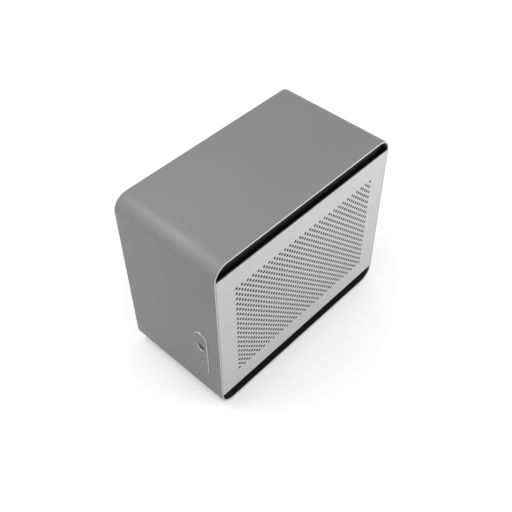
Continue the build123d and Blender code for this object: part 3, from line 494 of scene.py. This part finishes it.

# painted shade: the walls of the holes are coloured near black for the shade that falls inside them
other_where(silver_panel_painted_light, sheet_edges, "Wall", colour=(0.006, 0.006, 0.006), roughness=0.6)
other_where(silver_panel_painted_light, sheet_edges, "Rim", colour=(0.34, 0.34, 0.34), roughness=0.40)
for side, body, node, name in (
    (1, "right_panel", "side_panel_right", "punched_panel_right"),
    (-1, "left_panel", "side_panel_left", "punched_panel_left"),
):
    panel_mesh = flat_panel.copy()
    upright = Matrix(((0, 0, side, side * panel_middle), (1, 0, 0, 0), (0, 1, 0, 0), (0, 0, 0, 1)))
    panel_mesh.transform(upright)
    if side < 0:
        panel_mesh.flip_normals()
    soft_shade(panel_mesh)
    piece_from(name, panel_mesh, silver_panel_painted_light, body, "panel_aluminium", node)


# The steel frame: side hoops, base plate, rear panel, slot covers, tray, rails and brackets, folded from
# 1.2 mm sheet steel, spot-welded together and powder-coated matt black. The coat leaves a small radius
# on their edges.
powder_skin, skin_in, skin_out = effect_group(
    "powder_skin", {"Dimples Per Metre": 900, "Speckle Share": 0.4}, ["Tone", "Height"]
)
skin_place = powder_skin.nodes.new("ShaderNodeTexCoord")
dimples = powder_skin.nodes.new("ShaderNodeTexVoronoi")
dimples.feature = "SMOOTH_F1"
speckle = powder_skin.nodes.new("ShaderNodeTexNoise")
speckle.inputs["Scale"].default_value = 3200
speckle.inputs["Detail"].default_value = 1
powder_skin.links.new(skin_place.outputs["Object"], dimples.inputs["Vector"])
powder_skin.links.new(skin_place.outputs["Object"], speckle.inputs["Vector"])
powder_skin.links.new(skin_in.outputs["Dimples Per Metre"], dimples.inputs["Scale"])
speckle_part = math_node(powder_skin, "MULTIPLY", speckle.outputs["Fac"], skin_in.outputs["Speckle Share"])
dimple_share = math_node(powder_skin, "SUBTRACT", 1.0, skin_in.outputs["Speckle Share"])
dimple_part = math_node(powder_skin, "MULTIPLY", dimples.outputs["Distance"], dimple_share)
powder_skin.links.new(math_node(powder_skin, "ADD", speckle_part, dimple_part), skin_out.inputs["Tone"])
powder_skin.links.new(dimples.outputs["Distance"], skin_out.inputs["Height"])

black_coat = finish_material(
    "black_coat", powder_skin, {"Dimples Per Metre": 900, "Speckle Share": 0.4},
    dark=(0.017, 0.017, 0.0175), light=(0.025, 0.025, 0.0255), rough=(0.34, 0.46),
    bump=0.00002,
)


def dress(node, material, rounding=0):
    """Gives a CAD node its finish, and rounds its sharp edges where a radius is given."""
    shown = solid_nodes[node]
    shown.data.materials.clear()
    shown.data.materials.append(material)
    for face in shown.data.polygons:
        face.material_index = 0
    if rounding:
        weld = shown.modifiers.new("weld", "WELD")
        weld.merge_threshold = 0.00001
        soften = shown.modifiers.new("edge_radius", "BEVEL")
        soften.width = rounding
        soften.segments = 2
        soften.limit_method = "ANGLE"
        soften.angle_limit = math.radians(40)
        soften.use_clamp_overlap = True


coat_radius = 0.00025
# The hoops round the panels are coated darker and duller than the rest
hoop_coat = finish_material(
    "hoop_coat", powder_skin, {"Dimples Per Metre": 700, "Speckle Share": 0.6},
    dark=(0.0080, 0.0080, 0.0085), light=(0.013, 0.013, 0.0135), rough=(0.36, 0.48),
    bump=0.00003, Specular_IOR_Level=0.2,
)
other_where(hoop_coat, side_faces, "Side", colour=(0.012, 0.012, 0.0125), roughness=0.60)
for node in ("side_hoop_right", "side_hoop_left"):
    dress(node, hoop_coat, rounding=coat_radius)
for node in (
    "base_plate", "rear_panel", "motherboard_tray", "top_rail_front", "top_rail_rear",
    "front_rail", "supply_bracket", "drive_bracket", "slot_cover_upper", "slot_cover_lower",
):
    dress(node, black_coat, rounding=coat_radius)


# The snap pins and their catches: zinc-plated pins with rounded heads are pressed into the panels, and nylon
# cups in the hoops hold the heads, so that a panel clicks on and pulls off.
def solids_of(node):
    """The lowest and highest corner of each separate solid in a CAD node."""
    mesh = solid_nodes[node].data
    owner = {}

    def root(key):
        while owner[key] != key:
            owner[key] = owner[owner[key]]
            key = owner[key]
        return key

    keys = [tuple(round(c, 6) for c in vertex.co) for vertex in mesh.vertices]
    for key in keys:
        owner[key] = key
    for face in mesh.polygons:
        first = root(keys[face.vertices[0]])
        for vertex in face.vertices[1:]:
            owner[root(keys[vertex])] = first
    groups = {}
    for key in owner:
        groups.setdefault(root(key), []).append(key)
    return [
        (Vector([min(p[i] for p in g) for i in range(3)]), Vector([max(p[i] for p in g) for i in range(3)]))
        for g in groups.values()
    ]


def outline_radius(radius, angle, shape="round"):
    """How far the outline of a ring reaches at an angle: a circle, a hexagon, or a cross-shaped recess."""
    if shape == "hexagon":
        return radius * math.cos(math.pi / 6) / math.cos((angle % (math.pi / 3)) - math.pi / 6)
    if shape == "cross":
        half = radius * math.tan(math.radians(15))
        run, rise = abs(math.cos(angle)) + 1e-9, abs(math.sin(angle)) + 1e-9
        return max(min(radius / run, half / rise), min(half / run, radius / rise))
    return radius


def ring_faces(here, there, count):
    """The faces between two rings of points, given the number of each ring's first point."""
    return [(here + n, there + n, there + (n + 1) % count, here + (n + 1) % count) for n in range(count)]


def turned_mesh(name, profile, places, outward, points=24):
    """Like pieces turned on a lathe, one at each place.

    The profile lists rings: radius, depth below the outer end, and a shape where a ring isn't round.
    """
    out = Vector(outward).normalized()
    across = out.orthogonal().normalized()
    lift = out.cross(across)
    spots, faces = [], []
    for place in places:
        start = len(spots)
        for radius, depth, *shape in profile:
            for n in range(points):
                angle = math.tau * n / points
                reach = outline_radius(radius, angle, *shape)
                ray = across * math.cos(angle) + lift * math.sin(angle)
                spots.append(place - out * depth + ray * reach)
        for row in range(len(profile) - 1):
            faces += ring_faces(start + row * points, start + (row + 1) * points, points)
        faces.append(tuple(start + n for n in range(points)))
        last = start + (len(profile) - 1) * points
        faces.append(tuple(last + n for n in reversed(range(points))))
    mesh = bpy.data.meshes.new(name)
    mesh.from_pydata(spots, [], faces)
    face_outward(mesh)
    soft_shade(mesh, sharp_degrees=35)
    return mesh


def outer_ends(node, outward):
    """The middle of each solid's end face on the side that looks outward."""
    direction = Vector(outward)
    ends = []
    for low, high in solids_of(node):
        middle, half = (low + high) / 2, (high - low) / 2
        ends.append(middle + Vector([half[i] * direction[i] for i in range(3)]))
    return ends


# Turned metal: fine rings left by the tool, and a slight change of tone across the plating
turned_metal, turned_in, turned_out = effect_group(
    "turned_metal", {"Rings Per Metre": 2400, "Patches Per Metre": 220}, ["Tone", "Height"]
)
turned_place = turned_metal.nodes.new("ShaderNodeTexCoord")
rings = turned_metal.nodes.new("ShaderNodeTexWave")
rings.wave_type = "RINGS"
rings.rings_direction = "SPHERICAL"
rings.inputs["Distortion"].default_value = 1.5
patches = turned_metal.nodes.new("ShaderNodeTexVoronoi")
turned_metal.links.new(turned_place.outputs["Object"], rings.inputs["Vector"])
turned_metal.links.new(turned_place.outputs["Object"], patches.inputs["Vector"])
turned_metal.links.new(turned_in.outputs["Rings Per Metre"], rings.inputs["Scale"])
turned_metal.links.new(turned_in.outputs["Patches Per Metre"], patches.inputs["Scale"])
patch_part = math_node(turned_metal, "MULTIPLY", patches.outputs["Distance"], 0.6)
ring_part = math_node(turned_metal, "MULTIPLY", rings.outputs["Fac"], 0.4)
turned_metal.links.new(math_node(turned_metal, "ADD", patch_part, ring_part), turned_out.inputs["Tone"])
turned_metal.links.new(rings.outputs["Fac"], turned_out.inputs["Height"])

zinc_plate = finish_material(
    "zinc_plate", turned_metal, {"Rings Per Metre": 2400, "Patches Per Metre": 220},
    dark=(0.42, 0.42, 0.44), light=(0.55, 0.55, 0.56), rough=(0.28, 0.40),
    bump=0.000005, Metallic=1.0,
)
black_nylon = finish_material(
    "black_nylon", powder_skin, {"Dimples Per Metre": 1500, "Speckle Share": 0.7},
    dark=(0.016, 0.016, 0.017), light=(0.024, 0.024, 0.025), rough=(0.42, 0.52),
    bump=0.00001,
)
pin_profile = [
    (0.0042, 0), (0.0045, 0.0003), (0.0045, 0.0012), (0.0016, 0.0012), (0.0014, 0.0016), (0.0014, 0.0068),
    (0.0019, 0.0072), (0.0023, 0.0082), (0.0023, 0.0090), (0.0019, 0.0104), (0.0012, 0.0112),
    (0.0005, 0.0114),
]
catch_profile = [
    (0.0026, 0.0066), (0.0026, 0.0004), (0.0030, 0), (0.0055, 0), (0.0058, 0.0004), (0.0058, 0.0012),
    (0.0042, 0.0012), (0.0042, 0.0078), (0.0038, 0.0082),
]
for outward, side in (((1, 0, 0), "right"), ((-1, 0, 0), "left")):
    pins = turned_mesh("pins", pin_profile, outer_ends(f"{side}_snap_pins", outward), outward)
    piece_from(f"round_pins_{side}", pins, zinc_plate, f"{side}_panel", "zinc_steel", f"{side}_snap_pins")
    cups = turned_mesh("cups", catch_profile, outer_ends(f"{side}_pin_catches", outward), outward)
    piece_from(f"nylon_cups_{side}", cups, black_nylon, "case", "nylon", f"{side}_pin_catches")


# The screws: steel, with turned heads, cross recesses and plain shanks. They are blackened at the back of
# the case, and zinc-plated inside it and under the feet.
black_oxide = finish_material(
    "black_oxide", turned_metal, {"Rings Per Metre": 2600, "Patches Per Metre": 300},
    dark=(0.012, 0.012, 0.013), light=(0.022, 0.022, 0.023), rough=(0.30, 0.42),
    bump=0.000005, Metallic=0.7,
)


def screw_profile(head, head_depth, shank, length):
    """A round head with a cross recess, then a plain shank down to its full length."""
    recess = head * 0.55
    return [
        (recess * 0.45, head_depth * 0.75, "cross"), (recess, head_depth * 0.12, "cross"), (head * 0.68, 0),
        (head * 0.9, head_depth * 0.25), (head, head_depth * 0.6), (head, head_depth),
        (shank, head_depth), (shank, length - 0.0004), (shank * 0.7, length),
    ]


for node, outward, head, head_depth, shank, length, material, slot in (
    ("rear_screws", (0, 1, 0), 0.0026, 0.0006, 0.0015, 0.0053, black_oxide, "black_screws"),
    ("slot_screws", (-1, 0, 0), 0.0030, 0.0018, 0.0015, 0.0068, black_oxide, "black_screws"),
    ("fan_screws", (0, 1, 0), 0.0040, 0.0018, 0.0021, 0.0080, black_oxide, "black_screws"),
    ("foot_screws", (0, 0, -1), 0.0030, 0.0010, 0.0015, 0.0085, zinc_plate, "zinc_steel"),
    ("drive_bracket_screws", (0, 0, 1), 0.0030, 0.0018, 0.0015, 0.0041, zinc_plate, "zinc_steel"),
    ("control_board_screws", (0, 1, 0), 0.0030, 0.0018, 0.0015, 0.0034, zinc_plate, "zinc_steel"),
):
    profile = screw_profile(head, head_depth, shank, length)
    heads = turned_mesh(node, profile, outer_ends(node, outward), outward)
    piece_from("turned_" + node, heads, material, "case", slot, node)

longest_screw = 0.0045  # a tray screw is wider than this across its head
for name, axis, outward in (("floor", 2, (0, 0, 1)), ("back", 1, (0, -1, 0))):
    places = [
        end for end, (low, high) in zip(outer_ends("tray_screws", outward), solids_of("tray_screws"))
        if high[axis] - low[axis] < longest_screw
    ]
    heads = turned_mesh("tray_" + name, screw_profile(0.0030, 0.0018, 0.0015, 0.0041), places, outward)
    piece_from(f"turned_tray_screws_{name}", heads, zinc_plate, "case", "zinc_steel", "tray_screws")


# The feet and the floor filter: four soft rubber pads, and a moulded frame with a fine woven mesh that
# lies in the shell's floor window and keeps dust out.
soft_rubber = finish_material(
    "soft_rubber", powder_skin, {"Dimples Per Metre": 1100, "Speckle Share": 0.8},
    dark=(0.012, 0.012, 0.012), light=(0.020, 0.020, 0.020), rough=(0.72, 0.84),
    bump=0.00002,
)
foot_profile = [
    (0.0017, 0.0030), (0.0017, 0.0016), (0.0042, 0.0016), (0.0045, 0.0003), (0.0048, 0.0), (0.0062, 0.0),
    (0.0066, 0.0004), (0.0072, 0.0004), (0.0076, 0.0), (0.0100, 0.0), (0.0107, 0.0003), (0.0110, 0.0010),
    (0.0110, 0.0030),
]
for corner in ("front_left", "front_right", "rear_left", "rear_right"):
    node = "foot_" + corner
    pad = turned_mesh(node, foot_profile, outer_ends(node, (0, 0, -1)), (0, 0, -1), points=48)
    piece_from("rubber_pad_" + corner, pad, soft_rubber, "case", "rubber", node)
nut_profile = [
    (0.0015, 0.0024), (0.0015, 0.0002), (0.0018, 0), (0.0032, 0), (0.0036, 0.0004, "hexagon"),
    (0.0036, 0.0020, "hexagon"), (0.0032, 0.0024),
]
nuts = turned_mesh("nuts", nut_profile, outer_ends("foot_nuts", (0, 0, 1)), (0, 0, 1))
piece_from("hexagon_nuts", nuts, zinc_plate, "case", "zinc_steel", "foot_nuts")

moulded_black = finish_material(
    "moulded_black", powder_skin, {"Dimples Per Metre": 2200, "Speckle Share": 0.6},
    dark=(0.014, 0.014, 0.015), light=(0.021, 0.021, 0.022), rough=(0.46, 0.58),
    bump=0.00001,
)
dress("dust_filter", moulded_black, rounding=0.0002)

woven_mesh = bpy.data.materials.new("woven_mesh")
woven_mesh.use_nodes = True
weave = woven_mesh.node_tree
weave_shader = weave.nodes["Principled BSDF"]
weave_shader.inputs["Sheen Weight"].default_value = 0.2
weave_place = weave.nodes.new("ShaderNodeTexCoord")
threads = []
for direction in ("X", "Y"):
    thread = weave.nodes.new("ShaderNodeTexWave")
    thread.bands_direction = direction
    thread.inputs["Scale"].default_value = 320
    weave.links.new(weave_place.outputs["Object"], thread.inputs["Vector"])
    threads.append(thread.outputs["Fac"])
thread_height = math_node(weave, "MAXIMUM", threads[0], threads[1])
thread_tone = weave.nodes.new("ShaderNodeValToRGB")
thread_tone.color_ramp.elements[0].color = (0.004, 0.004, 0.004, 1)
thread_tone.color_ramp.elements[1].color = (0.045, 0.045, 0.047, 1)
thread_relief = weave.nodes.new("ShaderNodeBump")
thread_relief.inputs["Distance"].default_value = 0.0001
thread_rough = math_node(weave, "MULTIPLY_ADD", thread_height, 0.2, 0.55)
weave.links.new(thread_height, thread_tone.inputs["Fac"])
weave.links.new(thread_height, thread_relief.inputs["Height"])
weave.links.new(thread_tone.outputs["Color"], weave_shader.inputs["Base Color"])
weave.links.new(thread_rough, weave_shader.inputs["Roughness"])
weave.links.new(thread_relief.outputs["Normal"], weave_shader.inputs["Normal"])
dress("filter_mesh", woven_mesh)


# The rear fan: an 80 mm fan moulded in black plastic. Seven curved blades on a hub turn round a brass
# bearing and a steel stator, and a stamped steel guard covers it outside.
dress("fan_frame", moulded_black, rounding=0.0003)
dress("fan_grille", black_coat, rounding=0.0002)
brass_turned = finish_material(
    "brass_turned", turned_metal, {"Rings Per Metre": 2800, "Patches Per Metre": 180},
    dark=(0.60, 0.44, 0.19), light=(0.70, 0.53, 0.25), rough=(0.22, 0.34),
    bump=0.000004, Metallic=1.0,
)
dress("fan_bearing", brass_turned)
dress("fan_stator", zinc_plate, rounding=0.0003)

rotor_low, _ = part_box("fan_rotor")
fan_x, fan_z = -0.033, 0.209
hub_front = rotor_low.y
hub_depth, hub_length = 0.0170, 0.0194
hub_radius, hub_inside, hub_floor, hub_bore = 0.0164, 0.0142, 0.0022, 0.0015
hub_profile = [
    (hub_bore, hub_length), (hub_bore, hub_floor), (hub_inside, hub_floor), (hub_inside, hub_depth),
    (hub_radius, hub_depth), (hub_radius, 0.0012), (0.0158, 0.0004), (0.0150, 0), (0.0040, 0),
    (0.0036, 0.0003),
]
hub = turned_mesh("hub", hub_profile, [Vector((fan_x, hub_front, fan_z))], (0, -1, 0), points=64)
rotor_mesh = bmesh.new()
rotor_mesh.from_mesh(hub)
blades, spans, chords = 7, 8, 10
root_radius, tip_radius = 0.0158, 0.0362
root_chord, chord_gain = 0.0135, 0.0065
root_pitch, pitch_loss = 46, 14
sweep_back, sweep_ease = 0.16, 0.10
blade_camber, blade_half, edge_half = 0.0016, 0.0007, 0.0001
for blade in range(blades):
    base_turn = math.tau * blade / blades
    sheets = []
    for face_side in (1, -1):
        grid = []
        for span in range(spans + 1):
            share = span / spans
            radius = root_radius + (tip_radius - root_radius) * share
            chord = root_chord + chord_gain * share
            pitch = math.radians(root_pitch - pitch_loss * share)
            sweep = -sweep_back * share + sweep_ease * share * share
            row = []
            for step in range(chords + 1):
                along = step / chords - 0.5
                swell = 1 - (2 * along) ** 2
                height = blade_camber * swell + face_side * (blade_half * swell ** 0.5 + edge_half)
                run = along * chord * math.cos(pitch) - height * math.sin(pitch)
                rise = along * chord * math.sin(pitch) + height * math.cos(pitch)
                angle = base_turn + sweep + run / radius
                across, up = radius * math.cos(angle), radius * math.sin(angle)
                spot = (fan_x + across, hub_front + hub_depth / 2 + rise, fan_z + up)
                row.append(rotor_mesh.verts.new(spot))
            grid.append(row)
        sheets.append(grid)
        for span in range(spans):
            near, far = grid[span], grid[span + 1]
            for step in range(chords):
                corners = (near[step], near[step + 1], far[step + 1], far[step])
                rotor_mesh.faces.new(corners if face_side > 0 else tuple(reversed(corners)))
    top, bottom = sheets
    rim = [(s, 0) for s in range(spans + 1)] + [(spans, c) for c in range(1, chords + 1)]
    rim += [(s, chords) for s in range(spans - 1, -1, -1)] + [(0, c) for c in range(chords - 1, 0, -1)]
    for (s, c), (t, d) in zip(rim, rim[1:] + rim[:1]):
        rotor_mesh.faces.new((top[s][c], bottom[s][c], bottom[t][d], top[t][d]))
bmesh.ops.recalc_face_normals(rotor_mesh, faces=rotor_mesh.faces)
rotor_data = bpy.data.meshes.new("bladed_rotor")
rotor_mesh.to_mesh(rotor_data)
rotor_mesh.free()
soft_shade(rotor_data, sharp_degrees=40)
piece_from("bladed_rotor", rotor_data, moulded_black, "fan", "black_plastic", "fan_rotor")


# The mains inlet: a moulded black socket with three plated blades, snapped into its cut-out in the rear
# panel. Its lead isn't part of the case.
dress("power_inlet", moulded_black, rounding=0.0004)
dress("inlet_pins", zinc_plate, rounding=0.0003)


# The board standoffs: four hexagonal brass posts at the corners of a mini-ITX board. Each one is riveted
# to the tray by its thin end and has a threaded hole in its outer one.
standoff_profile = [
    (0.0014, 0.0055), (0.0014, 0.0004), (0.0017, 0), (0.0027, 0), (0.00317, 0.0004, "hexagon"),
    (0.00317, 0.0062, "hexagon"), (0.0027, 0.0065), (0.0014, 0.0065), (0.0014, 0.0077),
]
standoff_ends = outer_ends("board_standoffs", (-1, 0, 0))
posts = turned_mesh("posts", standoff_profile, standoff_ends, (-1, 0, 0))
piece_from("brass_posts", posts, brass_turned, "case", "brass", "board_standoffs")


# The front control plate: a pill-shaped block of blasted aluminium, pushed through the front wall so
# that it stands 1.5 mm proud, with a flange and two board posts behind the wall. Its rim is cut bright.
cut_rim, rim_in, rim_out = effect_group("cut_rim", {"Flat Limit": 0.97, "Wall Limit": 0.12}, ["Rim"])
rim_turn = cut_rim.nodes.new("ShaderNodeSeparateXYZ")
rim_geometry = cut_rim.nodes.new("ShaderNodeNewGeometry")
cut_rim.links.new(rim_geometry.outputs["True Normal"], rim_turn.inputs[0])
faces_out = math_node(cut_rim, "ABSOLUTE", rim_turn.outputs["Y"])
below_flat = math_node(cut_rim, "LESS_THAN", faces_out, rim_in.outputs["Flat Limit"])
above_wall = math_node(cut_rim, "GREATER_THAN", faces_out, rim_in.outputs["Wall Limit"])
cut_rim.links.new(math_node(cut_rim, "MULTIPLY", below_flat, above_wall), rim_out.inputs["Rim"])

bright_bezel = finish_material(
    "bright_bezel", blasted_grain, {"Pits Per Metre": 3000, "Clouds Per Metre": 30, "Cloud Share": 0.4},
    dark=(0.203, 0.203, 0.204), light=(0.215, 0.215, 0.216), rough=(0.56, 0.62),
    bump=0.000008, Metallic=0.6,
)
other_where(bright_bezel, cut_rim, "Rim", colour=(0.39, 0.39, 0.39), roughness=0.24)

button_x, button_z, light_z = pill_x, 0.1144, 0.0858
bezel_low, bezel_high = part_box("control_bezel")
flange_front = shell_low.y + wall
flange_back = flange_front + 0.0015
bezel_half = 0.0125
rim_round, rim_steps = 0.0015, 6
into_flange = 0.0001
bezel_rings = []
for step in range(rim_steps + 1):
    rim_angle = math.radians(90 * step / rim_steps)
    rim_reach = bezel_half - rim_round * (1 - math.sin(rim_angle))
    bezel_rings.append(pill_outline(rim_reach, bezel_low.y + rim_round * (1 - math.cos(rim_angle))))
bezel_rings.append(pill_outline(bezel_half, flange_front + into_flange))
bezel_spots = [spot for ring in bezel_rings for spot in ring]
bezel_count = len(bezel_rings[0])
bezel_last = len(bezel_spots) - bezel_count
bezel_faces = [tuple(range(bezel_count)), tuple(reversed(range(bezel_last, len(bezel_spots))))]
for row in range(len(bezel_rings) - 1):
    bezel_faces += ring_faces(row * bezel_count, (row + 1) * bezel_count, bezel_count)
pill_mesh = bpy.data.meshes.new("pill_block")
pill_mesh.from_pydata(bezel_spots, [], bezel_faces)
flange_mesh = plain_box((bezel_low.x, flange_front, bezel_low.z), (bezel_high.x, flange_back, bezel_high.z))
holes = [
    turned_mesh(
        "button_hole", [(0.0083, -0.0006), (0.0070, 0.0007), (0.0070, 0.0080)],
        [Vector((button_x, bezel_low.y, button_z))], (0, -1, 0), points=48,
    ),
    turned_mesh(
        "light_hole", [(0.0034, -0.0004), (0.0020, 0.0010), (0.0020, 0.0080)],
        [Vector((button_x, bezel_low.y, light_z))], (0, -1, 0),
    ),
]
post_spread = 0.033
board_posts = turned_mesh(
    "board_posts", [(0.0013, 0.0040), (0.0013, 0), (0.0030, 0, "hexagon"), (0.0030, 0.0112, "hexagon")],
    [Vector((pill_x, bezel_high.y, pill_z + side * post_spread)) for side in (1, -1)], (0, 1, 0),
)
whole_bezel = bmesh.new()
for part in (cut_away(pill_mesh, holes), cut_away(flange_mesh, holes), board_posts):
    whole_bezel.from_mesh(part)
bezel_mesh = bpy.data.meshes.new("bezel")
whole_bezel.to_mesh(bezel_mesh)
whole_bezel.free()
soft_shade(bezel_mesh, sharp_degrees=25)
piece_from("pill_bezel", bezel_mesh, bright_bezel, "case", "bezel_aluminium", "control_bezel")


# The power button: a round aluminium cap in the bezel, its dished face dyed dark inside a bright
# turned ring, on a stem that presses the switch. A collar behind the bezel holds it in.
dark_button = finish_material(
    "dark_button", turned_metal, {"Rings Per Metre": 1800, "Patches Per Metre": 60},
    dark=(0.010, 0.010, 0.011), light=(0.016, 0.016, 0.017), rough=(0.24, 0.34),
    bump=0.000004, Metallic=0.6,
)
bright_ring = finish_material(
    "bright_ring", turned_metal, {"Rings Per Metre": 2600, "Patches Per Metre": 60},
    dark=(0.50, 0.50, 0.51), light=(0.56, 0.56, 0.57), rough=(0.30, 0.38),
    bump=0.000002, Metallic=0.9,
)
button_low, button_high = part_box("power_button")
button_front = Vector((button_x, button_low.y, button_z))
button_length = button_high.y - button_low.y
ring_profile = [
    (0.0062, 0.0012), (0.0062, 0.0004), (0.0064, 0.0001), (0.0065, 0), (0.0066, 0.0001), (0.0067, 0.0003),
    (0.0067, 0.0012),
]
cap_profile = [
    (0.0001, 0.0011), (0.0030, 0.0010), (0.0063, 0.0006), (0.0063, 0.0012), (0.0067, 0.0012),
    (0.0067, 0.0049), (0.0082, 0.0050), (0.0082, 0.0062), (0.0020, 0.0062), (0.0020, button_length),
]
cap = turned_mesh("cap", cap_profile, [button_front], (0, -1, 0), points=48)
piece_from("dished_button", cap, dark_button, "button", "button_metal", "power_button")
ring = turned_mesh("ring", ring_profile, [button_front], (0, -1, 0), points=48)
piece_from("button_ring", ring, bright_ring, "button", "bezel_aluminium", "power_button")


# The power switch: a small moulded push switch on the control board. The button's stem presses its
# plunger, and the plunger's spring brings both back.
dress("switch_plunger", moulded_black)
dress("power_switch", moulded_black)


# The power light: a clear lamp on the control board, and a rod of smoked acrylic that leads its light
# through the bezel. The light is off, so the rod's end looks nearly black.
clear_acrylic = finish_material(
    "clear_acrylic", turned_metal, {"Rings Per Metre": 3000, "Patches Per Metre": 500},
    dark=(0.80, 0.80, 0.82), light=(0.88, 0.88, 0.90), rough=(0.12, 0.20),
    bump=0.000002,
)
clear_acrylic.node_tree.nodes["Principled BSDF"].inputs["Transmission Weight"].default_value = 0.85
smoked_acrylic = finish_material(
    "smoked_acrylic", turned_metal, {"Rings Per Metre": 3000, "Patches Per Metre": 500},
    dark=(0.006, 0.006, 0.006), light=(0.010, 0.010, 0.010), rough=(0.40, 0.50),
    bump=0.000002,
)
dress("light_rod", smoked_acrylic)
dress("power_lamp", clear_acrylic)


# The control board: a small circuit board under green lacquer, screwed to the two posts behind the bezel.
# It carries the switch and the lamp.
board_lacquer = finish_material(
    "board_lacquer", powder_skin, {"Dimples Per Metre": 700, "Speckle Share": 0.5},
    dark=(0.010, 0.055, 0.030), light=(0.018, 0.085, 0.045), rough=(0.26, 0.38),
    bump=0.00001,
)
dress("control_board", board_lacquer, rounding=0.0002)
